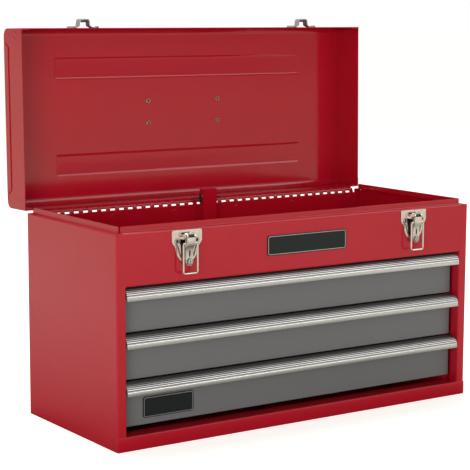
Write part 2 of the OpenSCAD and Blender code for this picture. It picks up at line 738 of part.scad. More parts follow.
// A profile drawn as (distance out from the front panel, Z).
module latch_slab(x0, x1) translate([x1, -hy, 0]) rotate([90, 0, -90]) linear_extrude(x1 - x0) children();
function plate_half() = [
    [latch_w / 2 - 1.2, 0], [latch_w / 2, -1.2], [latch_w / 2, -12.6], [latch_w / 2 - 1.2, -15.1],
    [latch_w / 2 - 4, -18.1], [latch_w / 2 - 5.2, -23.6], [latch_w / 2 - 7.3, -29.3],
    [latch_w / 2 - 11.3, -34.3], [latch_w / 2 - 14.6, -36.4], [latch_w / 2 - 17, -latch_h]
];
module latch_plate() color(nickel) {
    h = plate_half();
    translate([0, -hy, plate_top]) rotate([90, 0, 0]) difference() {
        linear_extrude(latch_t) polygon(concat(h, [for (p = backwards(h)) [-p[0], p[1]]]));
        for (k = [-1, 1])
            translate([k * latch_rivet_x, latch_rivet_z - plate_top, -1]) cylinder(d = rivet_d, h = latch_t + 2);
    }
    // Ears folded out of the plate, inside the lever's side webs.
    for (k = [-1, 1]) translate([k * (ear_x - latch_t / 2), 0, 0])
        latch_slab(-latch_t / 2, latch_t / 2) difference() {
            union() {
                translate([latch_t - eps, pivot_z - ear_drop]) square([pivot_out - latch_t, ear_drop - 0.4]);
                translate([pivot_out, pivot_z]) circle(r = 2.8);
            }
            translate([pivot_out, pivot_z]) circle(d = lever_pin_d);
        }
}
module latch_plate_left() at_latch(-1) latch_plate();
module latch_plate_right() at_latch(1) latch_plate();
module latch_pin() color(steel)
    translate([-lever_w / 2 - 0.3, -hy - pivot_out, pivot_z]) rotate([0, 90, 0]) cylinder(d = lever_pin_d, h = lever_w + 0.6);
module latch_pin_left() at_latch(-1) latch_pin();
module latch_pin_right() at_latch(1) latch_pin();
// A tubular rivet along -Y, from its tail plane to its head plane.
module rivet(back, front, head_d) translate([0, -back, 0]) rotate([90, 0, 0]) difference() {
    union() {
        cylinder(d = rivet_d, h = front - back);
        translate([0, 0, front - back]) cylinder(d1 = head_d, d2 = head_d - 1.4, h = 0.9);
        translate([0, 0, -0.8]) cylinder(d = head_d - 0.6, h = 0.8);
    }
    translate([0, 0, front - back - 1.5]) cylinder(d = rivet_d - 1.8, h = 4);
}
module latch_rivets() color(nickel) for (s = [-1, 1], k = [-1, 1])
    translate([s * latch_x + k * latch_rivet_x, 0, latch_rivet_z]) rivet(hy - sheet_t, hy + latch_t, rivet_d + 2);

// Side view of the lever: rolled top, hump, recessed blade and lifted tip.
lever_path = [
    [pivot_out + roll_r * cos(60), pivot_z + roll_r * sin(60)],
    [pivot_out + roll_r * cos(30), pivot_z + roll_r * sin(30)],
    [pivot_out + roll_r, pivot_z],
    [pivot_out + roll_r - 0.2, pivot_z - 9],
    [pivot_out - 0.4, pivot_z - 15],
    [pivot_out - 1.2, pivot_z - lever_l + 3],
    [pivot_out + 1.6, pivot_z - lever_l]
];
module lever() color(nickel) difference() {
    union() {
        latch_slab(-lever_w / 2, lever_w / 2) {
            difference() {
                translate([pivot_out, pivot_z]) circle(r = roll_r);
                translate([pivot_out, pivot_z]) circle(r = roll_r - latch_t);
                translate([pivot_out, pivot_z]) rotate(60) translate([-20, 0]) square([40, 20]);
                translate([pivot_out - 20, pivot_z - 20]) square([20, 40]);
                translate([pivot_out - 1, pivot_z - 20]) square([20, 20]);
            }
            sheet([for (k = [6 : -1 : 2]) lever_path[k]], latch_t, 1);
        }
        for (k = [-1, 1]) translate([k * (lever_w / 2 - latch_t / 2), 0, 0])
            latch_slab(-latch_t / 2, latch_t / 2) lever_web();
    }
    // The slot across the rolled top and the window in the blade.
    box(
        [-5.2, -hy - pivot_out - roll_r - 1, pivot_z + 1],
        [5.2, -hy - pivot_out - 1, pivot_z + 3.6]
    );
    box(
        [-1.6, -hy - pivot_out - 3, pivot_z - 23.5],
        [1.6, -hy - 1.5, pivot_z - 16]
    );
    translate([0, -hy, barrel_z]) rotate([90, 0, 0]) cylinder(d = barrel_d - 2, h = pivot_out + 2);
    latch_slab(-lever_w, lever_w) translate([bail_out, bail_z]) circle(d = bail_d + 2 * latch_fit);
    latch_slab(-lever_w, lever_w) translate([pivot_out, pivot_z]) circle(d = lever_pin_d + 2 * latch_fit);
}
module lever_web() {
    intersection() {
        union() {
            translate([pivot_out, pivot_z]) circle(r = roll_r - 0.3);
            polygon([
                [pivot_out - 3, pivot_z], [pivot_out - 1, pivot_z - 14.6], [pivot_out + 0.3, pivot_z - 15],
                [pivot_out + roll_r - 0.8, pivot_z - 9], [pivot_out + roll_r - 0.4, pivot_z]
            ]);
        }
        translate([0, pivot_z - 30]) square([30, 60]);
    }
}
barrel_z = pivot_z - 28;
module lever_left() at_latch(-1) lever();
module lever_right() at_latch(1) lever();
module lock_barrel() color(steel) translate([0, -hy, barrel_z]) rotate([90, 0, 0]) difference() {
    union() {
        cylinder(d = barrel_d - 2, h = pivot_out + 1.4);
        translate([0, 0, pivot_out + 0.6]) cylinder(d1 = barrel_d, d2 = barrel_d - 1.2, h = 1.6);
    }
    translate([0, 0, -eps]) cylinder(d = barrel_d, h = 3);
    translate([-0.4, -1.8, pivot_out + 1]) cube([0.8, 3.6, 3]);
}
module lock_barrel_left() at_latch(-1) lock_barrel();
module lock_barrel_right() at_latch(1) lock_barrel();

// Round rod through a list of corners, with turned bends.
module rod_bend(d, r, a) rotate_extrude(angle = a) translate([r, 0]) circle(d = d);
module latch_bail() color(nickel) {
    r = 2.4;
    leg = bail_w / 2;
    z0 = bail_z - bail_l;
    translate([0, -hy - bail_out, 0]) {
        translate([-leg + r, 0, z0]) rotate([0, 90, 0]) cylinder(d = bail_d, h = bail_w - 2 * r);
        both_sides() {
            translate([leg - r, 0, z0 + r]) rotate([90, 0, 0]) rotate([0, 0, -90]) rod_bend(bail_d, r, 90);
            translate([leg, 0, z0 + r]) cylinder(d = bail_d, h = bail_l - r - bail_d / 2 - 0.2);
            translate([leg - bail_d / 2 - 0.2, 0, bail_z - bail_d / 2 - 0.2])
                rotate([90, 0, 0]) rod_bend(bail_d, bail_d / 2 + 0.2, 90);
            translate([leg - bail_d / 2 - 0.2 - 2.6, 0, bail_z]) rotate([0, 90, 0]) cylinder(d = bail_d, h = 2.6);
        }
    }
}
module latch_bail_left() at_latch(-1) latch_bail();
module latch_bail_right() at_latch(1) latch_bail();

// ---------- Lid ----------
module opened() translate([0, pin_y, pin_z]) rotate([-lid_open, 0, 0]) translate([0, -pin_y, -pin_z]) children();
function lid_path(inset) = [
    [hy - inset, lid_z], [hy - inset, lid_top - inset],
    [lid_front + inset, lid_top - inset], [lid_front + inset, lid_z]
];
module lid_panel() color(red) opened() difference() {
    union() {
        along_x(-hx + sheet_t, hx - sheet_t) sheet(lid_path(0), sheet_t, lid_r - sheet_t);
        both_sides() along_y(lid_front + lap_notch, hy - lap_notch)
            sheet([[hx, lid_z + lap_h], [hx, lid_top], [hx - 3 * corner_r, lid_top]]);
        for (s = [-1, 1]) translate([0, s * bead_y, lid_top]) bead_form(bead_l, bead_w, bead_h, sheet_t);
    }
    for (s = [-1, 1])
        translate([0, s * bead_y, lid_top - sheet_t])
            bead_form(bead_l - 2 * sheet_t, bead_w - 2 * sheet_t, bead_h, 1);
    for (s = [-1, 1], k = [-1, 1])
        translate([s * saddle_x, handle_y + k * rivet_pitch / 2, lid_top - sheet_t - 1])
            cylinder(d = rivet_d, h = sheet_t + 2);
    for (s = [-1, 1], k = [-1, 1])
        translate([s * latch_x + k * catch_rivet_x, lid_front - 1, catch_mid])
            rotate([-90, 0, 0]) cylinder(d = rivet_d, h = sheet_t + 2);
    both_sides() box(
        [hx - sheet_t, lid_front - 1, lid_z - 1],
        [hx + 1, lid_front + lap_notch, lid_top + 1]
    );
    both_sides() along_x(hx - sheet_t, hx + 1) {
        translate([lid_front + lap_notch, lid_z + lap_h]) lap_corner();
        translate([hy - lap_notch, lid_z + lap_h]) mirror([1, 0]) lap_corner();
    }
}
module lap_corner() polygon([[-1, -1], [5.5, -1], [5.5, 0], [4.5, 1.8], [0, 8], [-1, 8]]);
module lid_end() color(red) opened() {
    r = lid_r - sheet_t;
    y0 = lid_front + sheet_t;
    y1 = hy - sheet_t;
    x1 = hx - sheet_t;
    z1 = lid_top - sheet_t;
    difference() {
        union() {
            along_x(hx - cap_flange, x1) sheet(lid_path(sheet_t), sheet_t, r - sheet_t);
            along_x(x1 - sheet_t, x1) {
                translate([y0, lid_z]) square([y1 - y0, z1 - lid_z - r]);
                translate([y0 + r, lid_z]) square([y1 - y0 - 2 * r, z1 - lid_z]);
                for (y = [y0 + r, y1 - r]) translate([y, z1 - r]) circle(r);
            }
        }
        // The top edge is broken, to clear the inside of the lid's fold.
        along_y(y0 + r, y1 - r)
            polygon([[x1 - fold_r, z1], [x1, z1 - fold_r], [x1 + 1, z1 - fold_r], [x1 + 1, z1 + 1], [x1 - fold_r, z1 + 1]]);
    }
}
module lid_end_right() lid_end();
module lid_end_left() mirror([1, 0, 0]) lid_end();
module hinge_leaf_lid() color(deep_red) opened() {
    fingers(1, 0);
    box([-hinge_x, hy, lid_z], [hinge_x, hy + leaf_t, lid_z + leaf_h]);
    box([-hinge_x, hy, lid_z], [hinge_x, hy + hinge_back / 2, lid_z + leaf_t]);
}
// Left half of the keeper's outer face, from its foot to the bridge.
function keeper_half() = [
    [-catch_plate_w / 2, -latch_t], [-catch_w / 2 - 4, -latch_t], [-catch_w / 2 - 2.45, -keeper_step],
    [-catch_w / 2, -keeper_step], [-catch_w / 2 + 0.9, -catch_out]
];
keeper_step = latch_t + 1.6;
module keeper() color(nickel) opened() difference() {
    union() {
        along_z(catch_mid - catch_h / 2, catch_mid + catch_h / 2) translate([0, lid_front])
            sheet(concat(keeper_half(), [for (p = backwards(keeper_half())) [-p[0], p[1]]]), latch_t, 0.5);
        for (k = [-1, 1])
            translate([k * (catch_plate_w / 2 - 4.5), lid_front, catch_mid]) rotate([90, 0, 0])
                linear_extrude(latch_t) rounded_rect(9, catch_plate_h, 2);
        box(
            [-catch_w / 4, lid_front - catch_out, catch_top - 1],
            [catch_w / 4, lid_front - catch_out + latch_t, catch_top + 1.4]
        );
    }
    for (k = [-1, 1])
        translate([k * catch_rivet_x, lid_front + 1, catch_mid]) rotate([90, 0, 0]) cylinder(d = rivet_d, h = 4);
}
module keeper_left() at_latch(-1) keeper();
module keeper_right() at_latch(1) keeper();
module keeper_rivets() color(nickel) opened() for (s = [-1, 1], k = [-1, 1])
    translate([s * latch_x + k * catch_rivet_x, 0, catch_mid]) rivet(-lid_front - sheet_t, -lid_front + latch_t, rivet_d + 2);

// ---------- Handle ----------
saddle_t = 1.5;
saddle_w = 7.4;
module handle_saddle() color(steel) opened() translate([saddle_x, handle_y, lid_top]) difference() {
    union() {
        linear_extrude(saddle_t) rounded_rect(16, rivet_pitch + 12, 5);
        along_x(-saddle_w / 2, saddle_w / 2) {
            translate([0, handle_up]) circle(d = rod_d + 3.6);
            translate([-rod_d / 2 - 1.8, saddle_t / 2]) square([rod_d + 3.6, handle_up - saddle_t / 2]);
        }
    }
    translate([-20, 0, handle_up]) rotate([0, 90, 0]) cylinder(d = rod_d + 2 * rod_fit, h = 40);
    for (k = [-1, 1]) translate([0, k * rivet_pitch / 2, -1]) cylinder(d = rivet_d, h = 5);
}
module handle_saddle_right() handle_saddle();
module handle_saddle_left() mirror([1, 0, 0]) handle_saddle();
module handle_rivets() color(steel) opened() for (s = [-1, 1], k = [-1, 1])
    translate([s * saddle_x, handle_y + k * rivet_pitch / 2, lid_top]) {
        translate([0, 0, -sheet_t]) cylinder(d = rivet_d, h = sheet_t + saddle_t);
        translate([0, 0, saddle_t]) cylinder(d1 = rivet_d + 2.6, d2 = rivet_d - 0.6, h = 1.6);
        translate([0, 0, -sheet_t - 1]) cylinder(d1 = rivet_d - 0.4, d2 = rivet_d + 1, h = 1);
    }
// The handle hangs plumb from its saddles, whatever the lid's angle.
module hung() opened() translate([0, handle_y, handle_z]) rotate([lid_open - 90, 0, 0]) children();
leg_x = saddle_x - saddle_w / 2 - rod_d / 2 - 0.3;
module handle_bail() color(steel) hung() {
    inner = rod_d / 2 + 0.2;
    outer = 8;
    pin_end = saddle_x + saddle_w / 2 + 1.4;
    both_sides() {
        translate([leg_x + inner, 0, 0]) rotate([0, 90, 0]) cylinder(d = rod_d, h = pin_end - leg_x - inner);
        translate([leg_x + inner, inner, 0]) rotate([0, 0, 180]) rod_bend(rod_d, inner, 90);
        translate([leg_x, inner, 0]) rotate([-90, 0, 0]) cylinder(d = rod_d, h = handle_l - inner - outer);
        translate([leg_x - outer, handle_l - outer, 0]) rod_bend(rod_d, outer, 90);
    }
    translate([-leg_x + outer, handle_l, 0]) rotate([0, 90, 0]) cylinder(d = rod_d, h = 2 * (leg_x - outer));
}
module handle_grip() color(black) hung() difference() {
    translate([-grip_l / 2, handle_l, 0]) rotate([90, 0, 90]) linear_extrude(grip_l) rounded_rect(grip_w, grip_t, 4);
    translate([-grip_l, handle_l, 0]) rotate([0, 90, 0]) cylinder(d = rod_d + 0.1, h = 2 * grip_l);
    for (k = [-1.5 : 1 : 1.5])
        translate([k * grip_l / 4.4, handle_l - grip_w / 2 - 11.5, -grip_t]) cylinder(r = 13, h = 2 * grip_t);
}

body_shell();
back_panel();
base_pan();
well_floor();
upright_front_left();
upright_front_right();
upright_rear_left();
upright_rear_right();
hinge_leaf_body();
hinge_pin();
cabinet_slides_1();
cabinet_slides_2();
cabinet_slides_3();
lock_channel();
lock_spring();
latch_plate_left();
latch_plate_right();
latch_pin_left();
latch_pin_right();
latch_rivets();
front_plate();
lid_panel();
lid_end_left();
lid_end_right();
hinge_leaf_lid();
keeper_left();
keeper_right();
keeper_rivets();
handle_saddle_left();
handle_saddle_right();
handle_rivets();
handle_bail();
handle_grip();
lever_left();
lever_right();
lock_barrel_left();
lock_barrel_right();
latch_bail_left();
latch_bail_right();
lock_bar();
drawer_tray_1();
drawer_tray_2();
drawer_tray_3();
drawer_face_1();
drawer_face_2();
drawer_face_3();
drawer_pull_1();
drawer_pull_2();
drawer_pull_3();
drawer_slides_1();
drawer_slides_2();
drawer_slides_3();
ball_cages_1();
ball_cages_2();
ball_cages_3();
drawer_tag();
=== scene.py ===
"""The look of a portable three-drawer tool chest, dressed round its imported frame.

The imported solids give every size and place. Each sheet-metal piece is a softened copy of
its solid, with broken edges and smooth folds. Keepers, pulls, levers, lock barrels and
plates are drawn anew round their nodes' boxes, and small repeated hardware is grown with
Geometry Nodes. Lengths are in metres unless a name ends in _mm.
"""

import json
import logging
import math
from dataclasses import dataclass
from enum import Enum
from functools import cache
from typing import Callable, Iterable, Sequence

import bmesh
import bpy
from mathutils import Matrix, Vector


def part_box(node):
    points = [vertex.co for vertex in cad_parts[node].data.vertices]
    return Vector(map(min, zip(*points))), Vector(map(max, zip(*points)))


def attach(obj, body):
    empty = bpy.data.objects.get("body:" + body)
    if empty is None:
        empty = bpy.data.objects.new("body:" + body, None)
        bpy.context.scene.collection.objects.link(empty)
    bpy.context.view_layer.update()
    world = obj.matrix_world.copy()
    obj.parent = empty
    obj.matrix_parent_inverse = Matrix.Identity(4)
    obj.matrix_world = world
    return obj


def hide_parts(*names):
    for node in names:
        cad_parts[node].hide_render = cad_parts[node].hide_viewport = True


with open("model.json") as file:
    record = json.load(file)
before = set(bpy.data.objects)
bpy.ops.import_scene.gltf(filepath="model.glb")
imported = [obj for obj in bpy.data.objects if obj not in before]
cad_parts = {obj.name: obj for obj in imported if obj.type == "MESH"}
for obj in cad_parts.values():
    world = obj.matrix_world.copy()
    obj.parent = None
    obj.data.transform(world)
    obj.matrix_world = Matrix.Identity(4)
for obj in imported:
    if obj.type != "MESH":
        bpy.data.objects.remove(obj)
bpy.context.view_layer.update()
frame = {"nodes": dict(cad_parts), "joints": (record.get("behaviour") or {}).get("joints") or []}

log = logging.getLogger("tool_chest")
MM = 0.001
WELD_M = 3e-6
FLAT_DEG = 0.4
# Faces of broken edges, worn and lightened as a painted highlight where a finish reads the mark.
EDGE = "edge"
# Faces that carry painted shade: darker, less metallic and rougher where a finish reads the mark.
PAINTED_SHADE_MARK = "hollow"
Colour = tuple[float, float, float]
Point = tuple[float, float, float]
Pair = tuple[float, float]
Piece = bpy.types.Object
Material = bpy.types.Material
Socket = bpy.types.NodeSocket
Sockets = bpy.types.bpy_prop_collection
Work = bmesh.types.BMesh


class Slot(Enum):
    """The record's material slots."""

    RED = "red_paint"
    GREY = "drawer_paint"
    PULL = "pull_aluminium"
    ZINC = "plated_steel"
    NICKEL = "nickel_plate"
    BLACK = "plate_black"
    GRIP = "grip_black"


# ---------- Node trees ----------
class Graph:
    """Adds and links the nodes of one tree in few words."""

    def __init__(self, tree: bpy.types.NodeTree) -> None:
        """Keeps the tree that the nodes go into.

        Args:
            tree: The shader or geometry tree.
        """
        self.tree = tree

    def node(self, kind: str, **settings: object) -> bpy.types.Node:
        """Adds one node.

        Args:
            kind: The node's type name.
            **settings: Properties to set on it.

        Returns:
            The new node.
        """
        made = self.tree.nodes.new(kind)
        for name, value in settings.items():
            setattr(made, name, value)
        return made

    def join(self, source: object, target: Socket) -> None:
        """Links a socket to a target, or sets the target to a plain value.

        Args:
            source: A socket or a value; a colour has three parts and gets a full alpha.
            target: The input socket.
        """
        if isinstance(source, Socket):
            self.tree.links.new(source, target)
        else:
            target.default_value = (*source, 1.0) if target.type == "RGBA" else source

    def maths(self, operation: str, a: object, b: object = 0.0, clamp: bool = False) -> Socket:
        """Works out one sum.

        Args:
            operation: The Math node's operation.
            a: First socket or number.
            b: Second socket or number.
            clamp: Whether the result is held between 0 and 1.

        Returns:
            The result's socket.
        """
        made = self.node("ShaderNodeMath", operation=operation, use_clamp=clamp)
        self.join(a, made.inputs[0])
        self.join(b, made.inputs[1])
        return made.outputs[0]

    def span(self, value: object, lo: float, hi: float, to_lo: float = 0.0, to_hi: float = 1.0) -> Socket:
        """Maps a value from one range to another and holds it there.

        Args:
            value: Socket or number.
            lo: Lowest value read.
            hi: Highest value read.
            to_lo: Result at lo.
            to_hi: Result at hi.

        Returns:
            The mapped value's socket.
        """
        made = self.node("ShaderNodeMapRange", clamp=True)
        for at, given in enumerate((value, lo, hi, to_lo, to_hi)):
            self.join(given, made.inputs[at])
        return made.outputs[0]

    def parts(self, vector: object) -> Sockets:
        """Splits a vector.

        Args:
            vector: The vector's socket.

        Returns:
            The sockets of X, Y and Z.
        """
        made = self.node("ShaderNodeSeparateXYZ")
        self.join(vector, made.inputs[0])
        return made.outputs

    def blend(self, share: object, a: object, b: object) -> Socket:
        """Mixes two colours.

        Args:
            share: How much of b, from 0 to 1.
            a: First colour.
            b: Second colour.

        Returns:
            The mixed colour's socket.
        """
        made = self.node("ShaderNodeMix", data_type="RGBA", clamp_factor=True)
        for at, given in ((0, share), (6, a), (7, b)):
            self.join(given, made.inputs[at])
        return made.outputs[2]

    def noise(self, vector: object, scale: object, detail: float = 2.0, roughness: float = 0.5) -> Socket:
        """Adds a noise texture.

        Args:
            vector: Where it is read.
            scale: Features per metre.
            detail: Octaves.
            roughness: Share of the finer octaves.

        Returns:
            The noise value's socket.
        """
        made = self.node("ShaderNodeTexNoise")
        for name, given in (("Vector", vector), ("Scale", scale), ("Detail", detail), ("Roughness", roughness)):
            self.join(given, made.inputs[name])
        return made.outputs[0]


class Effects:
    """Shader groups that more than one finish uses, each built once."""

    @staticmethod
    def _start(name: str, inputs: dict[str, str], outputs: dict[str, str]) -> tuple[Graph, Sockets, Sockets]:
        """Makes an empty group with named sockets.

        Args:
            name: The group's name.
            inputs: Socket names and what they carry.
            outputs: Socket names and what they carry.

        Returns:
            The graph, what comes into the group and what goes out of it.
        """
        tree = bpy.data.node_groups.new(name, "ShaderNodeTree")
        for way, sockets in (("INPUT", inputs), ("OUTPUT", outputs)):
            for label, kind in sockets.items():
                tree.interface.new_socket(label, in_out=way, socket_type=f"NodeSocket{kind}")
        graph = Graph(tree)
        return graph, graph.node("NodeGroupInput").outputs, graph.node("NodeGroupOutput").inputs

    @staticmethod
    @cache
    def sprayed() -> bpy.types.NodeTree:
        """Sprayed enamel: fine peel, slow waves of the sheet, and a faint mottle.

        Returns:
            The group.
        """
        graph, given, out = Effects._start(
            "sprayed", {"Vector": "Vector", "Peel": "Float", "Wave": "Float"}, {"Height": "Float", "Mottle": "Float"}
        )
        fine = graph.maths("MULTIPLY", graph.noise(given["Vector"], 620.0, 1.0), given["Peel"])
        slow = graph.maths("MULTIPLY", graph.noise(given["Vector"], 7.5, 1.0), given["Wave"])
        graph.join(graph.maths("ADD", fine, slow), out["Height"])
        graph.join(graph.span(graph.noise(given["Vector"], 26.0, 4.0), 0.3, 0.7), out["Mottle"])
        return graph.tree

    @staticmethod
    @cache
    def edge_rub() -> bpy.types.NodeTree:
        """Broken edges worn thin by handling, patchy so that no edge is even; the lighter colour there is also a
        painted highlight.

        Returns:
            The group.
        """
        graph, given, out = Effects._start(
            "edge_rub", {"Vector": "Vector", "Edge": "Float", "Amount": "Float"}, {"Mask": "Float"}
        )
        patchy = graph.span(graph.noise(given["Vector"], 55.0, 5.0, 0.62), 0.42, 0.66)
        worn = graph.maths("MULTIPLY", given["Edge"], patchy)
        graph.join(graph.maths("MULTIPLY", worn, given["Amount"], clamp=True), out["Mask"])
        return graph.tree

    @staticmethod
    @cache
    def dust() -> bpy.types.NodeTree:
        """A trace of dust on faces that look up.

        Returns:
            The group.
        """
        graph, given, out = Effects._start(
            "dust", {"Vector": "Vector", "Normal": "Vector", "Amount": "Float"}, {"Mask": "Float"}
        )
        upward = graph.span(graph.parts(given["Normal"])[2], 0.6, 1.0)
        speck = graph.span(graph.noise(given["Vector"], 240.0, 6.0, 0.7), 0.42, 0.75)
        settled = graph.maths("MULTIPLY", upward, speck)
        graph.join(graph.maths("MULTIPLY", settled, given["Amount"], clamp=True), out["Mask"])
        return graph.tree

    @staticmethod
    @cache
    def drawn_grain() -> bpy.types.NodeTree:
        """Fine lines left by drawing or brushing a metal along one direction.

        Returns:
            The group.
        """
        graph, given, out = Effects._start(
            "drawn_grain", {"Vector": "Vector", "Stretch": "Vector"}, {"Height": "Float", "Tone": "Float"}
        )
        stretched = graph.node("ShaderNodeVectorMath", operation="MULTIPLY")
        graph.join(given["Vector"], stretched.inputs[0])
        graph.join(given["Stretch"], stretched.inputs[1])
        graph.join(graph.noise(stretched.outputs[0], 1.0, 3.0, 0.6), out["Height"])
        graph.join(graph.span(graph.noise(stretched.outputs[0], 0.35, 4.0, 0.6), 0.3, 0.7), out["Tone"])
        return graph.tree


# ---------- Finishes ----------
class Bench:
    """The start of a material: its graph, its shader and the piece's own coordinates."""

    def __init__(self, name: str) -> None:
        """Makes the material and its first nodes.

        Args:
            name: The material's name.
        """
        self.material = bpy.data.materials.new(name)
        self.material.use_nodes = True
        self.graph = Graph(self.material.node_tree)
        self.shader = self.material.node_tree.nodes["Principled BSDF"]
        self.place = self.graph.node("ShaderNodeTexCoord").outputs["Object"]

    def mark(self, name: str) -> Socket:
        """Reads a mark that the pieces' faces carry.

        Args:
            name: EDGE or PAINTED_SHADE_MARK.

        Returns:
            The mark's socket.
        """
        return self.graph.node("ShaderNodeAttribute", attribute_name=name).outputs["Fac"]

    def use(self, group: bpy.types.NodeTree, **inputs: object) -> Sockets:
        """Places a shared effect.

        Args:
            group: The effect's tree.
            **inputs: Its input sockets by name, apart from Vector.

        Returns:
            What comes out of it.
        """
        made = self.graph.node("ShaderNodeGroup", node_tree=group)
        for name, value in {"Vector": self.place, **inputs}.items():
            self.graph.join(value, made.inputs[name])
        return made.outputs

    def wear_and_highlight_mask(self, amount: float) -> Socket:
        """Finds where broken edges are worn, and lightened as a painted highlight.

        Args:
            amount: How strongly.

        Returns:
            The mask's socket.
        """
        return self.use(Effects.edge_rub(), Edge=self.mark(EDGE), Amount=amount)["Mask"]

    def bump(self, height: object, distance: float) -> None:
        """Lets a height turn the shader's normal.

        Args:
            height: The height's socket.
            distance: Depth of a height of 1, in metres.
        """
        made = self.graph.node("ShaderNodeBump")
        self.graph.join(distance, made.inputs["Distance"])
        self.graph.join(height, made.inputs["Height"])
        self.graph.join(made.outputs[0], self.shader.inputs["Normal"])

    def set(self, **values: object) -> None:
        """Sets or links the shader's own sockets, with _ for each space in a name.

        Args:
            **values: Sockets or plain values.
        """
        for name, value in values.items():
            self.graph.join(value, self.shader.inputs[name.replace("_", " ")])


@dataclass(frozen=True)
class Enamel:
    """Sprayed and baked enamel over sheet steel."""

    name: str
    colour: Colour
    shade: Colour
    # Colour of worn edges: the coat beneath, and lighter as a painted highlight.
    primer_and_highlight: Colour
    roughness: float = 0.12
    mottle: float = 0.25
    peel: float = 0.35
    wave: float = 50.0
    depth: float = 0.000012
    wear_and_highlight: float = 0.35
    dust: float = 0.05

    def material(self) -> Material:
        """Builds the enamel.

        Returns:
            The material.
        """
        bench = Bench(self.name)
        graph = bench.graph
        sprayed = bench.use(Effects.sprayed(), Peel=self.peel, Wave=self.wave)
        upward = graph.node("ShaderNodeNewGeometry").outputs["Normal"]
        dust = bench.use(Effects.dust(), Normal=upward, Amount=self.dust)["Mask"]
        paint = graph.blend(graph.maths("MULTIPLY", sprayed["Mottle"], self.mottle), self.colour, self.shade)
        rubbed_and_highlit = graph.blend(bench.wear_and_highlight_mask(self.wear_and_highlight), paint, self.primer_and_highlight)
        gloss = graph.span(sprayed["Mottle"], 0.0, 1.0, self.roughness - 0.015, self.roughness + 0.03)
        bench.set(
            Base_Color=graph.blend(dust, rubbed_and_highlit, (0.42, 0.39, 0.36)),
            Roughness=graph.maths("ADD", gloss, graph.maths("MULTIPLY", dust, 0.6)),
            IOR=1.5,
        )
        bench.bump(sprayed["Height"], self.depth)
        return bench.material


@dataclass(frozen=True)
class BareMetal:
    """Bright or plated metal with grain, clouds of tarnish, worn edges that are also a painted highlight, painted shade
    on marked faces and towards the rear, and a front that can lose its metal as a painted highlight.
    """

    name: str
    colour: Colour
    tarnish: Colour
    roughness: float
    stretch: Point = (700.0, 700.0, 700.0)
    grain: float = 0.000004
    tone: float = 0.25
    shade_ramp_mm: Pair | None = None
    painted_shade: float = 0.8
    front_highlight: float = 0.0

    def material(self) -> Material:
        """Builds the metal.

        Returns:
            The material.
        """
        bench = Bench(self.name)
        graph = bench.graph
        grain = bench.use(Effects.drawn_grain(), Stretch=self.stretch)
        cloud = graph.span(graph.noise(bench.place, 160.0, 5.0, 0.65), 0.45, 0.75, 0.0, self.tone)
        shade = graph.maths("MULTIPLY", grain["Tone"], self.tone)
        body = graph.blend(graph.maths("ADD", shade, cloud, clamp=True), self.colour, self.tarnish)
        # Painted shade: marked faces, and with a ramp along Y the faces towards the rear, are darkened, made less
        # metallic and rougher.
        dark: object = bench.mark(PAINTED_SHADE_MARK)
        metal: object = 1.0
        if self.shade_ramp_mm:
            depth = graph.parts(bench.place)[1]
            start, end = (y * MM for y in self.shade_ramp_mm)
            dark = graph.maths("ADD", dark, graph.span(depth, start, end, 0.0, self.painted_shade), clamp=True)
            # Painted highlight: faces in front of the shade ramp lose most of their metal, so their pale colour reads
            # as a brightly lit face.
            metal = graph.span(depth, start - 0.4 * MM, start, 1.0 - self.front_highlight, 1.0)
        rubbed_and_highlit = graph.blend(bench.wear_and_highlight_mask(0.5), body, self.colour)
        gloss = graph.span(grain["Tone"], 0.0, 1.0, self.roughness - 0.04, self.roughness + 0.06)
        bench.set(
            Base_Color=graph.blend(dark, rubbed_and_highlit, (0.028, 0.026, 0.024)),
            Metallic=graph.maths("SUBTRACT", metal, graph.maths("MULTIPLY", dark, 0.6), clamp=True),
            Roughness=graph.maths("ADD", gloss, graph.maths("MULTIPLY", dark, 0.3)),
        )
        bench.bump(grain["Height"], self.grain)
        return bench.material


@dataclass(frozen=True)
class Moulding:
    """Plastic, glossy or matt, with a fine moulded texture."""

    name: str
    colour: Colour
    # Colour of worn edges, partly wear and partly a painted highlight.
    rubbed_and_highlit: Colour
    roughness: float
    texture: float
    texture_scale: float = 1400.0
    specular: float = 0.5

    def material(self) -> Material:
        """Builds the plastic.

        Returns:
            The material.
        """
        bench = Bench(self.name)
        graph = bench.graph
        texture = graph.noise(bench.place, self.texture_scale, 2.0)
        cloud = graph.noise(bench.place, 90.0, 3.0)
        bench.set(
            Base_Color=graph.blend(bench.wear_and_highlight_mask(0.4), self.colour, self.rubbed_and_highlit),
            Roughness=graph.span(cloud, 0.3, 0.7, self.roughness - 0.04, self.roughness + 0.06),
            IOR=1.48,
            Specular_IOR_Level=self.specular,
        )
        bench.bump(texture, self.texture)
        return bench.material


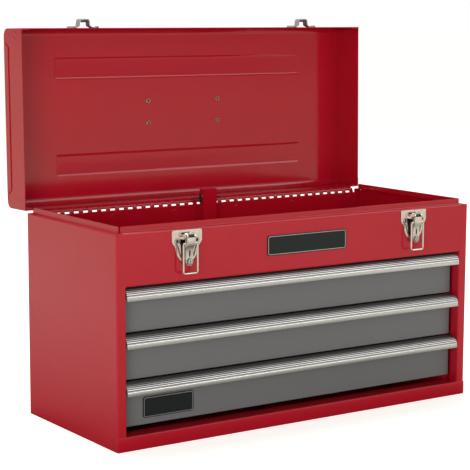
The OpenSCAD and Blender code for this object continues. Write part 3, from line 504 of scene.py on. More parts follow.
class Paintbox:
    """Every finish of the chest, made once."""

    def __init__(self) -> None:
        """Builds the materials."""
        red = Enamel("gloss_red_enamel", (0.47, 0.005, 0.019), (0.41, 0.004, 0.016), (0.60, 0.06, 0.06))
        grey = Enamel(
            "satin_grey_enamel", (0.160, 0.161, 0.165), (0.152, 0.153, 0.157), (0.30, 0.30, 0.30),
            roughness=0.30, peel=0.5, wave=30.0, wear_and_highlight=0.3,
        )
        self.of: dict[str, Material] = {
            "red": red.material(),
            "grey": grey.material(),
            "pull": BareMetal(
                "drawn_aluminium", (0.88, 0.87, 0.85), (0.70, 0.69, 0.67), 0.13,
                stretch=(9.0, 2600.0, 2600.0), grain=0.000001, tone=0.3,
                shade_ramp_mm=(-110.0, -101.0), painted_shade=0.9, front_highlight=0.92,
            ).material(),
            "zinc": BareMetal("zinc_plate", (0.70, 0.70, 0.70), (0.42, 0.42, 0.41), 0.30).material(),
            "nickel": BareMetal(
                "nickel_plate", (0.91, 0.82, 0.77), (0.42, 0.36, 0.32), 0.15, grain=0.000003
            ).material(),
            "brass": BareMetal("dull_brass", (0.62, 0.50, 0.33), (0.30, 0.22, 0.14), 0.24).material(),
            "silver": BareMetal("silver_line", (0.86, 0.86, 0.85), (0.6, 0.6, 0.6), 0.3).material(),
            "black": Moulding(
                "gloss_black", (0.012, 0.016, 0.016), (0.03, 0.03, 0.03), 0.22, 0.000003, specular=0.28
            ).material(),
            "tip": Moulding("dipped_black", (0.010, 0.010, 0.011), (0.03, 0.03, 0.03), 0.45, 0.00001).material(),
            "grip": Moulding("matt_black_grip", (0.018, 0.018, 0.019), (0.05, 0.05, 0.05), 0.6, 0.00004).material(),
        }

    def __getitem__(self, name: str) -> Material:
        """The finish of that name."""
        return self.of[name]


# ---------- Meshes ----------
def new_piece(name: str, data: bpy.types.ID) -> Piece:
    """Puts a mesh, light or camera into the scene as an object at the origin.

    Args:
        name: The object's name.
        data: Its data.

    Returns:
        The object.
    """
    piece = bpy.data.objects.new(name, data)
    bpy.context.scene.collection.objects.link(piece)
    return piece


def poured(work: Work, name: str) -> Piece:
    """Makes a piece of a working mesh, which is freed.

    Args:
        work: The mesh being worked on.
        name: The piece's name.

    Returns:
        The piece.
    """
    mesh = bpy.data.meshes.new(name)
    work.to_mesh(mesh)
    work.free()
    return new_piece(name, mesh)


def reopened(piece: Piece) -> Work:
    """Opens a piece's mesh to be worked on.

    Args:
        piece: The object.

    Returns:
        The working mesh.
    """
    work = bmesh.new()
    work.from_mesh(piece.data)
    return work


def close(work: Work, piece: Piece) -> None:
    """Puts a working mesh back into its piece.

    Args:
        work: The mesh being worked on, freed here.
        piece: The object.
    """
    work.to_mesh(piece.data)
    work.free()


def painted_shade_layer(work: Work) -> bmesh.types.BMLayerItem:
    """Finds or makes the layer that marks faces carrying painted shade, in recesses and under other parts.

    Args:
        work: The mesh being worked on.

    Returns:
        The layer.
    """
    return work.faces.layers.float.get(PAINTED_SHADE_MARK) or work.faces.layers.float.new(PAINTED_SHADE_MARK)


def block(work: Work, spot: Matrix, size: Sequence[float]) -> list[bmesh.types.BMVert]:
    """Adds a block to a working mesh.

    Args:
        work: The mesh being worked on.
        spot: Where its middle goes and how it is turned.
        size: Its three sizes in metres.

    Returns:
        Its corners.
    """
    corners = bmesh.ops.create_cube(work, size=1.0)["verts"]
    bmesh.ops.transform(work, verts=corners, matrix=spot @ Matrix.Diagonal((*size, 1.0)))
    return corners


def walls(
    work: Work,
    rows: Sequence[Sequence[bmesh.types.BMVert]],
    ring: bool = False,
    holes: Iterable[tuple[int, int]] = (),
) -> list[tuple[int, int, bmesh.types.BMFace]]:
    """Spans each two neighbouring rows of points with four-sided faces.

    Args:
        work: The mesh being worked on.
        rows: The rows of points.
        ring: Whether each row's end is joined to its start.
        holes: Places that get no face, as row and point.

    Returns:
        The row, the point and the face of each.
    """
    made = []
    for row, (one, two) in enumerate(zip(rows, rows[1:])):
        for k in range(len(one) if ring else len(one) - 1):
            after = (k + 1) % len(one)
            if (row, k) not in holes:
                made.append((row, k, work.faces.new((one[k], two[k], two[after], one[after]))))
    return made


def settle(piece: Piece) -> Piece:
    """Turns a piece and its live modifiers into one plain mesh.

    Args:
        piece: The object.

    Returns:
        The same object, with no modifiers.
    """
    graph = bpy.context.evaluated_depsgraph_get()
    mesh = bpy.data.meshes.new_from_object(piece.evaluated_get(graph))
    piece.modifiers.clear()
    old, piece.data = piece.data, mesh
    bpy.data.meshes.remove(old)
    mesh.name = piece.name
    return piece


def soften(piece: Piece, edge_mm: float, segments: int = 2, angle: float = 35.0) -> Piece:
    """Breaks the sharp edges of a piece, marks them, and shades its folds smooth.

    Args:
        piece: The object.
        edge_mm: Width of the broken edge.
        segments: Cuts across the edge.
        angle: Least angle of an edge that is broken, in degrees.

    Returns:
        The same object.
    """
    spare = bpy.data.materials.new("spare")
    piece.data.materials.clear()
    for _ in range(2):
        piece.data.materials.append(spare)
    for face in piece.data.polygons:
        face.use_smooth = True
    if edge_mm > 0:
        bevel = piece.modifiers.new("edges", "BEVEL")
        bevel.width = edge_mm * MM
        bevel.segments = segments
        bevel.limit_method = "ANGLE"
        bevel.angle_limit = math.radians(angle)
        bevel.use_clamp_overlap = True
        bevel.material = 1
    even = piece.modifiers.new("even", "WEIGHTED_NORMAL")
    even.keep_sharp = True
    even.weight = 60
    settle(piece)
    marks = piece.data.attributes.new(EDGE, "FLOAT", "FACE")
    for at, face in enumerate(piece.data.polygons):
        marks.data[at].value = float(face.material_index == 1)
        face.material_index = 0
    piece.data.materials.clear()
    bpy.data.materials.remove(spare)
    return piece


def copy_solid(node: str, name: str) -> Piece:
    """Copies a CAD node's mesh, joined up and with its flat faces made whole.

    Args:
        node: The CAD node.
        name: The new piece's name.

    Returns:
        The piece.
    """
    piece = new_piece(name, frame["nodes"][node].data.copy())
    piece.data.materials.clear()
    work = reopened(piece)
    bmesh.ops.remove_doubles(work, verts=work.verts, dist=WELD_M)
    bmesh.ops.dissolve_limit(work, angle_limit=math.radians(FLAT_DEG), verts=work.verts, edges=work.edges)
    close(work, piece)
    for layer in list(piece.data.uv_layers):
        piece.data.uv_layers.remove(layer)
    return piece


def dress(
    node: str,
    body: str,
    slot: Slot,
    material: Material,
    edge_mm: float = 0.3,
    segments: int = 2,
) -> Piece:
    """Replaces a CAD node by its softened copy in a finish.

    Args:
        node: The CAD node.
        body: The CAD body it rides on.
        slot: The record's slot; not used.
        material: The finish.
        edge_mm: Width of its broken edges.
        segments: Cuts across each edge.

    Returns:
        The new piece.
    """
    piece = soften(copy_solid(node, f"{node}_finished"), edge_mm, segments)
    piece.data.materials.clear()
    piece.data.materials.append(material)
    return place(piece, body, slot, node)


def place(piece: Piece, body: str, slot: Slot, *nodes: str) -> Piece:
    """Hands a finished piece to the frame.

    Args:
        piece: The piece.
        body: The CAD body it rides on.
        slot: The slot of its finish; not used.
        *nodes: CAD nodes that it stands for.

    Returns:
        The piece.
    """
    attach(piece, body)
    if nodes:
        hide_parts(*nodes)
    log.info("%s: %d faces, on %s", piece.name, len(piece.data.polygons), body)
    return piece


def rounded_outline(half_w: float, half_h: float, radius: float, steps: int) -> list[Pair]:
    """Works out a rectangle with round corners.

    Args:
        half_w: Half of its width.
        half_h: Half of its height.
        radius: Radius of the corners.
        steps: Cuts across each corner.

    Returns:
        Its points, in order round the middle.
    """
    points = []
    for corner, (sx, sz) in enumerate(((1, 1), (-1, 1), (-1, -1), (1, -1))):
        for k in range(steps + 1):
            turn = math.radians(90 * (corner + k / steps))
            points.append((
                sx * (half_w - radius) + radius * math.cos(turn), sz * (half_h - radius) + radius * math.sin(turn)
            ))
    return points


def by_corners(face: bmesh.types.BMFace) -> float:
    """Numbers a face by its corners, so that spun faces come in the same order each run."""
    at = [vert.index for vert in face.verts]
    return float((min(at) * 10_000 + max(at)) * 100_000 + sum(at))


def turned(
    profile: Sequence[Pair], steps: int, recessed: Callable[[float, float], bool] | None = None
) -> Work:
    """Turns a profile of (radius, height) about Z.

    Args:
        profile: Points in millimetres, from the axis outward and back.
        steps: Cuts round the axis.
        recessed: Tells from a face's radius and height in millimetres whether it lies in a recess, which carries
            painted shade.

    Returns:
        The mesh being worked on.
    """
    work = bmesh.new()
    points = [work.verts.new((r * MM, 0.0, z * MM)) for r, z in profile]
    for a, b in zip(points, points[1:]):
        work.edges.new((a, b))
    bmesh.ops.spin(
        work, geom=work.verts[:] + work.edges[:], axis=(0, 0, 1), cent=(0, 0, 0), steps=steps, angle=math.tau
    )
    bmesh.ops.remove_doubles(work, verts=work.verts, dist=1e-7)
    bmesh.ops.recalc_face_normals(work, faces=work.faces)
    work.verts.index_update()
    work.faces.sort(key=by_corners)
    marks = painted_shade_layer(work)
    for face in work.faces:
        middle = face.calc_center_median()
        face[marks] = float(bool(recessed) and recessed(middle.xy.length / MM, middle.z / MM))
    return work


def mark_painted_shade(piece: Piece, test: Callable[[bpy.types.MeshPolygon], bool]) -> None:
    """Marks the faces that carry painted shade, in recesses and under other parts.

    Args:
        piece: The object.
        test: Tells whether a face carries painted shade.
    """
    marks = piece.data.attributes.get(PAINTED_SHADE_MARK) or piece.data.attributes.new(PAINTED_SHADE_MARK, "FLOAT", "FACE")
    for at, face in enumerate(piece.data.polygons):
        if test(face):
            marks.data[at].value = 1.0


def swept(
    name: str, section: Sequence[Pair], x0: float, x1: float, painted_shade: dict[int, float] | None = None
) -> Piece:
    """Draws a closed section out along X.

    Args:
        name: The piece's name.
        section: Points of (Y, Z) in millimetres.
        x0: Where it starts, in metres.
        x1: Where it ends, in metres.
        painted_shade: How much painted shade lies on the faces that start at some of the points.

    Returns:
        The piece.
    """
    work = bmesh.new()
    ends = [[work.verts.new((x, y * MM, z * MM)) for y, z in section] for x in (x0, x1)]
    marks = painted_shade_layer(work)
    for _, k, face in walls(work, ends, ring=True):
        face[marks] = (painted_shade or {}).get(k, 0.0)
    for end in ends:
        work.faces.new(end)
    bmesh.ops.recalc_face_normals(work, faces=work.faces)
    return poured(work, name)


def finish(piece: Piece, material: Material, angle: float = 38.0) -> Piece:
    """Gives a drawn piece its finish and shades its curves smooth.

    Args:
        piece: The object.
        material: The finish.
        angle: Least angle that stays sharp, in degrees.

    Returns:
        The same object.
    """
    piece.data.materials.clear()
    piece.data.materials.append(material)
    for face in piece.data.polygons:
        face.material_index = 0
        face.use_smooth = True
    piece.data.set_sharp_from_angle(angle=math.radians(angle))
    return piece


class LidSwing:
    """How the lid's own frame, shut, is carried to its place at rest, open."""

    def __init__(self) -> None:
        """Reads the hinge from the record."""
        joint = next(j for j in frame["joints"] if j["name"] == "lid_hinge")
        pin = Matrix.Translation(Vector(joint["pos_m"]))
        opened = math.radians(-joint["range_deg"][1])
        self.turn = (opened, 0.0, 0.0)
        self.matrix = pin @ Matrix.Rotation(opened, 4, "X") @ pin.inverted()

    def at(self, point: Sequence[float]) -> Vector:
        """Carries a point of the shut lid, in metres, to the open lid."""
        return self.matrix @ Vector(point)


# ---------- Geometry Nodes ----------
class Scatter:
    """Sets one small shape on every vertex of a seed mesh, with Geometry Nodes."""

    NAME = "hardware_scatter"

    @classmethod
    def tree(cls) -> bpy.types.NodeTree:
        """Builds the tree once.

        Returns:
            The geometry tree.
        """
        if cls.NAME in bpy.data.node_groups:
            return bpy.data.node_groups[cls.NAME]
        tree = bpy.data.node_groups.new(cls.NAME, "GeometryNodeTree")
        for label, kind in (("Geometry", "Geometry"), ("Shape", "Object"), ("Turn", "Vector"), ("Finish", "Material")):
            tree.interface.new_socket(label, in_out="INPUT", socket_type=f"NodeSocket{kind}")
        tree.interface.new_socket("Geometry", in_out="OUTPUT", socket_type="NodeSocketGeometry")
        graph = Graph(tree)
        given, out, shape, put, real, coat = (graph.node(kind) for kind in (
            "NodeGroupInput", "NodeGroupOutput", "GeometryNodeObjectInfo", "GeometryNodeInstanceOnPoints",
            "GeometryNodeRealizeInstances", "GeometryNodeSetMaterial",
        ))
        for source, plug, target, socket in (
            (given, "Shape", shape, "Object"), (given, "Geometry", put, "Points"),
            (shape, "Geometry", put, "Instance"), (given, "Turn", put, "Rotation"),
            (put, "Instances", real, "Geometry"), (real, "Geometry", coat, "Geometry"),
            (given, "Finish", coat, "Material"), (coat, "Geometry", out, "Geometry"),
        ):
            graph.join(source.outputs[plug], target.inputs[socket])
        return tree

    @classmethod
    def grow(
        cls,
        name: str,
        shape: Work,
        points: Iterable[Sequence[float]],
        material: Material,
        turn: Sequence[float],
    ) -> Piece:
        """Grows the shapes and bakes them into one plain piece.

        Args:
            name: The piece's name.
            shape: The small shape about its own origin, freed here.
            points: Where each goes, in metres.
            material: The finish.
            turn: Turn of every shape, as Euler angles.

        Returns:
            The piece.
        """
        small = poured(shape, f"{name}_shape")
        seeds = bpy.data.meshes.new(name)
        seeds.from_pydata([tuple(p) for p in points], [], [])
        piece = new_piece(name, seeds)
        grown = piece.modifiers.new("grown", "NODES")
        grown.node_group = cls.tree()
        wanted = {"Shape": small, "Turn": tuple(turn), "Finish": material}
        for socket in grown.node_group.interface.items_tree:
            if socket.item_type == "SOCKET" and socket.in_out == "INPUT" and socket.name in wanted:
                grown[socket.identifier] = wanted[socket.name]
        bpy.context.view_layer.update()
        settle(piece)
        bpy.data.meshes.remove(small.data)
        for face in piece.data.polygons:
            face.use_smooth = True
        piece.data.set_sharp_from_angle(angle=math.radians(38))
        return piece


# ---------- Sub-assemblies ----------
@dataclass
class Carcass:
    """The folded body: shell, back, pans, uprights and the lock channel."""

    paints: Paintbox
    edge_mm: float = 0.28
    weld_x_mm: tuple[float, ...] = (-233.0, -137.0, -47.0, 47.0, 137.0, 233.0)
    weld_z_mm: float = 232.5
    sill_mm: float = 16.4
    back_y_mm: float = 107.0
    half_width_mm: float = 254.8

    def build(self) -> None:
        """Builds and dresses every piece of the body."""
        red = self.paints["red"]
        for node in ("body_shell", "back_panel", "base_pan", "well_floor", "lock_channel"):
            dress(node, "body", Slot.RED, red, self.edge_mm)
        for node in ("upright_front_left", "upright_front_right", "upright_rear_left", "upright_rear_right"):
            dress(node, "body", Slot.RED, red, 0.2, 1)
        self.sill_seam()
        self.spot_welds()

    def sill_seam(self) -> None:
        """Adds the front strip that laps over the feet of the jambs."""
        front, top = -108.0, self.sill_mm
        section = [
            (front + 0.3, 0.35), (front - 0.1, 0.15), (front - 0.34, 0.4), (front - 0.34, top - 0.5),
            (front - 0.26, top - 0.2), (front - 0.05, top - 0.02), (front + 0.3, top),
        ]
        strip = swept("sill_strip", section, -self.half_width_mm * MM, self.half_width_mm * MM)
        place(finish(strip, self.paints["red"], 60.0), "body", Slot.RED)

    def spot_welds(self) -> None:
        """Adds the shallow dimples that the welding tips leave inside the back panel."""
        dimple = turned([(0.0, 0.05), (1.3, 0.08), (2.1, 0.20), (2.9, 0.22), (3.4, 0.0)], 24)
        points = [(x * MM, self.back_y_mm * MM, self.weld_z_mm * MM) for x in self.weld_x_mm]
        welds = Scatter.grow("spot_welds", dimple, points, self.paints["red"], (math.radians(90), 0.0, 0.0))
        place(welds, "body", Slot.RED)


@dataclass
class Lid:
    """The lid: folded panel, end caps, keepers, saddles and their rivets."""

    paints: Paintbox
    swing: LidSwing
    handle_y_mm: float = -2.5
    top_mm: float = 293.2
    rivet_x_mm: float = 53.0
    rivet_pitch_mm: float = 28.5
    rivet_up_mm: float = 1.5
    tab_mm: Point = (0.5, 30.0, 9.0)
    tab_at_mm: Pair = (128.0, 254.2)
    weld_at_mm: Pair = (135.3, 455.0)
    foot_half_mm: float = 7.5
    bridge_half_mm: float = 4.4
    shoulder_mm: Pair = (11.8, 1.4)
    tongue_mm: Point = (8.4, 2.6, 5.0)
    tongue_at_mm: Point = (1.9, 8.2, 1.0)
    # Painted shade under the keeper: half length of the shaded middle, and its amount on the underside and on the
    # tongue.
    shade_half_mm: float = 9.0
    shade_amounts: Pair = (0.85, 0.95)
    keeper_t_mm: float = 1.2
    # Outer skin of half a keeper: distance from its middle, and height above the lid's front wall.
    keeper_bend: tuple[Pair, ...] = (
        (-18.4, 0.2), (-18.2, 1.2), (-17.4, 2.0), (-16.2, 2.2), (-14.8, 1.8), (-13.4, 1.25), (-11.8, 1.2), (-10.4, 1.7),
        (-9.4, 2.3), (-8.4, 2.6), (-7.8, 2.75), (-7.5, 4.4), (-7.3, 6.2), (-7.1, 8.0), (-6.6, 9.6), (-5.6, 10.6),
        (-4.0, 10.9), (-1.2, 10.95),
    )

    def build(self) -> None:
        """Builds and dresses every piece of the lid."""
        red, nickel, zinc = self.paints["red"], self.paints["nickel"], self.paints["zinc"]
        for node in ("lid_panel", "lid_end_left", "lid_end_right"):
            dress(node, "lid", Slot.RED, red, 0.28)
        for side in ("left", "right"):
            self.keeper(side)
            dress(f"handle_saddle_{side}", "lid", Slot.ZINC, zinc, 0.3)
        rivets = dress("keeper_rivets", "lid", Slot.NICKEL, nickel, 0.12)
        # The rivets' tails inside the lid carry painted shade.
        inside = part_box("keeper_rivets")[0].z + 1.2 * MM
        mark_painted_shade(rivets, lambda face: face.center.z < inside)
        self.handle_rivets()
        self.end_laps()

    def keeper(self, side: str) -> None:
        """Draws one keeper: a strip bent into a round-shouldered bridge with curled feet and a tongue under it. The
        middle of the bridge's underside and the tongue carry painted shade.

        Args:
            side: "left" or "right".
        """
        node = f"keeper_{side}"
        solid = copy_solid(node, f"{node}_outline")
        shut = [self.swing.matrix.inverted() @ vert.co for vert in solid.data.vertices]
        bpy.data.meshes.remove(solid.data)
        middle = (min(spot.x for spot in shut) + max(spot.x for spot in shut)) / 2
        skin, foot_low = max(spot.y for spot in shut), min(spot.z for spot in shut)
        across = foot_low + self.foot_half_mm * MM
        work = bmesh.new()
        marks = painted_shade_layer(work)
        turns = [*self.keeper_bend, *((-x, out) for x, out in reversed(self.keeper_bend))]
        rows = []
        for at, (x, out) in enumerate(turns):
            before, after = turns[max(at - 1, 0)], turns[min(at + 1, len(turns) - 1)]
            run, rise = after[0] - before[0], after[1] - before[1]
            reach = math.hypot(run, rise) or 1.0
            under = (x + rise / reach * self.keeper_t_mm, max(out - run / reach * self.keeper_t_mm, 0.0))
            spread = min(max((abs(x) - self.shoulder_mm[0]) / self.shoulder_mm[1], 0.0), 1.0)
            half = self.bridge_half_mm + (self.foot_half_mm - self.bridge_half_mm) * spread
            rows.append([
                work.verts.new(self.swing.at((middle + px * MM, skin - po * MM, across + half * up * MM)))
                for px, po, up in ((x, out, -1), (x, out, 1), (*under, 1), (*under, -1))
            ])
        for at, k, face in walls(work, rows, ring=True):
            face[marks] = self.shade_amounts[0] if k == 2 and abs(turns[at][0]) < self.shade_half_mm else 0.0
        for row in (rows[0], rows[-1]):
            work.faces.new(row)
        aside, inward, under = (size * MM for size in self.tongue_at_mm)
        spot = self.swing.at((middle + aside, skin - inward, across - under))
        turned_over = Matrix.Translation(spot) @ Matrix.Rotation(self.swing.turn[0], 4, "X")
        tongue = block(work, turned_over, [size * MM for size in self.tongue_mm])
        for face in {face for vert in tongue for face in vert.link_faces}:
            face[marks] = self.shade_amounts[1]
        bmesh.ops.recalc_face_normals(work, faces=work.faces)
        piece = finish(poured(work, f"{node}_finished"), self.paints["nickel"], 50.0)
        place(piece, "lid", Slot.NICKEL, node)

    def end_laps(self) -> None:
        """Adds the lapped tab and the round weld on each end of the lid."""
        red = self.paints["red"]
        for side, name in ((-1, "left"), (1, "right")):
            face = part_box(f"lid_end_{name}")[max(side, 0)].x
            work = bmesh.new()
            spot = Vector((face, *(at * MM for at in self.tab_at_mm)))
            block(work, Matrix.Translation(spot), [size * MM for size in self.tab_mm])
            tab = soften(poured(work, f"lid_tab_{name}"), 0.2)
            place(finish(tab, red), "lid", Slot.RED)
            dimple = turned([(0.0, -0.12), (2.2, -0.06), (3.6, 0.18), (4.6, 0.3), (5.6, 0.22), (6.3, -0.05)], 32)
            spots = [(face, *(at * MM for at in self.weld_at_mm))]
            weld = Scatter.grow(f"lid_weld_{name}", dimple, spots, red, (0.0, math.radians(90 * side), 0.0))
            place(weld, "lid", Slot.RED)

    def handle_rivets(self) -> None:
        """Sets the four rivets of the handle's saddles; their clenched tails show inside the lid."""
        # The hollow middle of each tail carries painted shade.
        shape = turned([
            (0.0, 1.5), (1.6, 1.5), (2.7, 1.0), (3.3, 0.0), (1.9, -0.1), (1.9, -2.5), (3.0, -2.6), (3.05, -2.95),
            (2.6, -3.45), (1.75, -3.6), (1.45, -3.3), (1.3, -2.95), (0.0, -2.95),
        ], 28, lambda radius, height: height < -2.8 and radius < 1.4)
        spots = [
            self.swing.at((
                side * self.rivet_x_mm * MM, (self.handle_y_mm + k * self.rivet_pitch_mm / 2) * MM,
                self.top_mm * MM + self.rivet_up_mm * MM,
            ))
            for side in (-1, 1) for k in (-1, 1)
        ]
        rivets = Scatter.grow("handle_rivets_finished", shape, spots, self.paints["brass"], self.swing.turn)
        place(rivets, "lid", Slot.ZINC, "handle_rivets")


@dataclass
class Hinge:
    """The full-length knuckle hinge and its pin."""

    paints: Paintbox

    def build(self) -> None:
        """Dresses both leaves and the pin."""
        dress("hinge_leaf_body", "body", Slot.RED, self.paints["red"], 0.12, 1)
        dress("hinge_leaf_lid", "lid", Slot.RED, self.paints["red"], 0.12, 1)
        dress("hinge_pin", "body", Slot.ZINC, self.paints["zinc"], 0.1, 1)


@dataclass
class Drawer:
    """One drawer: tray, face, extruded pull and its slide members."""

    paints: Paintbox
    number: int
    wall_mm: float = 1.6
    nose_r_mm: float = 13.5
    nose_from: float = 92.0
    nose_to: float = 162.0
    grooves: int = 7
    groove_cuts: int = 14
    groove_mm: float = 0.35
    groove_width: float = 0.2
    # Painted shade in the grooves' bottoms and on the front of the nose.
    groove_shade: float = 0.75
    nose_shade: float = 0.35
    lip_mm: float = 5.2

    def build(self) -> None:
        """Dresses the drawer's pieces and its ball cages."""
        n, body = self.number, f"drawer_{self.number}"
        grey, zinc = self.paints["grey"], self.paints["zinc"]
        dress(f"drawer_tray_{n}", body, Slot.GREY, grey, 0.2)
        dress(f"drawer_face_{n}", body, Slot.GREY, grey, 0.2)
        self.pull()
        dress(f"drawer_slides_{n}", body, Slot.ZINC, zinc, 0.15, 1)
        dress(f"cabinet_slides_{n}", "body", Slot.ZINC, zinc, 0.15, 1)
        dress(f"ball_cages_{n}", f"cages_{n}", Slot.ZINC, zinc, 0.0)

    def nose(self, share: float, dip: float) -> Pair:
        """Finds a point of the pull's rounded nose.

        Args:
            share: Share of the way from its rear to its front.
            dip: Depth below the smooth curve, in millimetres.

        Returns:
            Its depth and height from the pull's top rear edge.
        """
        turn = math.radians(self.nose_from + (self.nose_to - self.nose_from) * share)
        reach = self.nose_r_mm - dip
        return reach * math.cos(turn) - self.wall_mm, reach * math.sin(turn) - self.nose_r_mm

    def pull(self) -> None:
        """Draws the extruded pull: a nose with fine grooves, a lip with a rounded top edge, and a back plate."""
        node = f"drawer_pull_{self.number}"
        low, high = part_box(node)
        rear, top = high.y / MM, high.z / MM
        steps = self.groove_cuts * self.grooves
        ridge: list[Pair] = []
        painted_shade: dict[int, float] = {}
        for k in range(steps + 1):
            dip = math.exp(-((((k / self.groove_cuts) % 1.0 - 0.5) / self.groove_width) ** 2))
            ridge.append(self.nose(k / steps, self.groove_mm * dip))
            # Painted shade: the grooves' bottoms, and the last faces of the nose before the lip.
            painted_shade[k + 1] = self.nose_shade if k > steps - 4 else self.groove_shade * dip
        heel = self.nose(1.0, 0.0)[1]
        face = low.y / MM - rear
        lip = [
            (face + 0.95, heel - 0.02), (face + 0.80, heel - 0.10), (face + 0.34, heel - 0.95),
            (face + 0.26, heel - 1.3), (face + 0.22, heel - 1.9), (face, heel - self.lip_mm + 0.1),
            (face + 0.25, heel - self.lip_mm - 0.4), (face + 0.75, heel - self.lip_mm - 0.75),
            (face + self.wall_mm, heel - self.lip_mm - 0.75), (face + self.wall_mm + 0.1, heel - self.lip_mm),
        ]
        inner = [self.nose(1.0 - k / 10, self.wall_mm) for k in range(11)]
        back = [(-self.wall_mm, -self.wall_mm - 0.2), (-self.wall_mm, -self.nose_r_mm), (0.0, -self.nose_r_mm)]
        section = [(0.0, 0.0), *ridge, *lip, *inner, *back]
        piece = swept(f"{node}_finished", [(rear + y, top + z) for y, z in section], low.x, high.x, painted_shade)
        finish(piece, self.paints["pull"], 55.0)
        place(piece, f"drawer_{self.number}", Slot.PULL, node)


@dataclass
class Latch:
    """One draw latch: plate, pin, pressed lever, lock barrel and wire bail."""

    paints: Paintbox
    side: str
    front_mm: float = -108.0
    ear_mm: float = 6.1
    solid_ear_mm: float = 5.0
    wall_mm: float = 0.9
    # Half width of the dark sheet that paints the shade behind the lever's openings.
    shade_sheet_half_mm: float = 4.7
    face_out_mm: float = 1.1
    ears_out_mm: float = 1.3
    ear_root_x_mm: Pair = (4.9, 6.3)
    ear_root_z_mm: Pair = (232.0, 237.0)
    barrel_z_mm: float = 208.5
    # Points of the base plate's tapered edge: distance from its middle, and height.
    taper_mm: tuple[Pair, ...] = (
        (18.0, 227.4), (15.8, 225.0), (15.0, 222.0), (14.5, 219.6), (13.5, 216.8), (12.2, 213.8), (10.2, 211.0),
        (8.2, 208.9), (6.4, 207.5),
    )
    # Rows down the lever: distance out, height, half width, and depth of the turned-down edge.
    stations: tuple[tuple[float, float, float, float], ...] = (
        (5.6, 240.6, 5.7, 3.2), (7.5, 240.4, 5.7, 3.6), (9.2, 239.4, 5.7, 3.8), (10.3, 237.9, 5.7, 3.9),
        (10.75, 235.9, 5.7, 4.0), (10.85, 233.0, 5.7, 4.0), (10.8, 229.4, 5.7, 4.0), (10.3, 227.4, 5.6, 3.6),
        (8.9, 225.3, 5.4, 2.4), (7.7, 223.2, 5.2, 1.5), (7.1, 221.0, 5.1, 1.2), (6.9, 217.5, 5.1, 1.2),
        (6.8, 213.8, 5.1, 1.2), (6.8, 211.0, 5.1, 1.2), (6.8, 208.6, 5.1, 1.2), (6.8, 206.9, 4.8, 1.2),
        (6.9, 205.4, 3.95, 1.2), (7.1, 204.3, 2.6, 1.2), (7.3, 203.8, 1.2, 1.0),
    )

    def build(self) -> None:
        """Draws and dresses the latch."""
        nickel, side = self.paints["nickel"], self.side
        self.middle = (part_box(f"latch_bail_{side}")[0].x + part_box(f"latch_bail_{side}")[1].x) / 2 / MM
        self.plate()
        dress(f"latch_pin_{side}", "body", Slot.NICKEL, nickel, 0.2)
        self.lever()
        self.barrel()
        dress(f"latch_bail_{side}", f"wire_bail_{side}", Slot.NICKEL, nickel, 0.2)

    def at(self, x: float, out: float, z: float) -> tuple[float, float, float]:
        """Turns a place on the latch into the shared frame.

        Args:
            x: Distance to the right of its middle, in millimetres.
            out: Distance out from the front panel.
            z: Height.

        Returns:
            The point in metres.
        """
        return ((self.middle + x) * MM, (self.front_mm - out) * MM, z * MM)

    def lever(self) -> None:
        """Presses the lever: a slotted hump, a waist and a round-ended blade with turned-down edges."""
        work = bmesh.new()
        rows = []
        for out, z, half, turned_down in self.stations:
            inner = [min(4.3, half * 0.74), min(0.95, half * 0.2)]
            xs = [-half + 0.5 * min(1.0, half / 4), -inner[0], -inner[1]]
            row = [(-half, out - turned_down, z), (-half, out - 0.6, z)]
            row += [(x, out, z) for x in (*xs, *(-x for x in reversed(xs)))]
            row += [(half, out - 0.6, z), (half, out - turned_down, z)]
            rows.append([work.verts.new(self.at(*point)) for point in row])
        # The slot in the hump and the window in the blade, as row and column.
        holes = {(2, 3), (2, 4), (2, 5), (3, 3), (3, 4), (3, 5), (10, 4), (11, 4)}
        walls(work, rows, holes=holes)
        bmesh.ops.recalc_face_normals(work, faces=work.faces)
        if sum(face.normal.y for face in work.faces) > 0:
            bmesh.ops.reverse_faces(work, faces=work.faces)
        piece = poured(work, f"lever_{self.side}_finished")
        for _ in range(2):
            piece.data.materials.append(None)
        wall = piece.modifiers.new("wall", "SOLIDIFY")
        wall.thickness = self.wall_mm * MM
        wall.offset = -1.0
        wall.material_offset = 1
        settle(piece)
        # The lever's inner skin, facing the plate, carries painted shade.
        mark_painted_shade(piece, lambda face: face.material_index == 1)
        soften(piece, 0.16, 2, 40.0)
        self.shade_sheet(piece)
        finish(piece, self.paints["nickel"], 50.0)
        place(piece, f"latch_lever_{self.side}", Slot.NICKEL, f"lever_{self.side}")

    def shade_sheet(self, piece: Piece) -> None:
        """Adds a dark sheet behind the hump's slot and the blade's window, painted shade seen through them.

        Args:
            piece: The lever.
        """
        work = reopened(piece)
        marks = painted_shade_layer(work)
        leaf = [(6.4, 240.0), (8.6, 238.4), (9.2, 235.5), (9.1, 229.5), (7.4, 225.4), (5.7, 221.5), (5.5, 211.6)]
        sides = (-self.shade_sheet_half_mm, self.shade_sheet_half_mm)
        ends = [[work.verts.new(self.at(x, out, z)) for out, z in leaf] for x in sides]
        for _, _, face in walls(work, ends):
            face[marks] = 1.0
        close(work, piece)

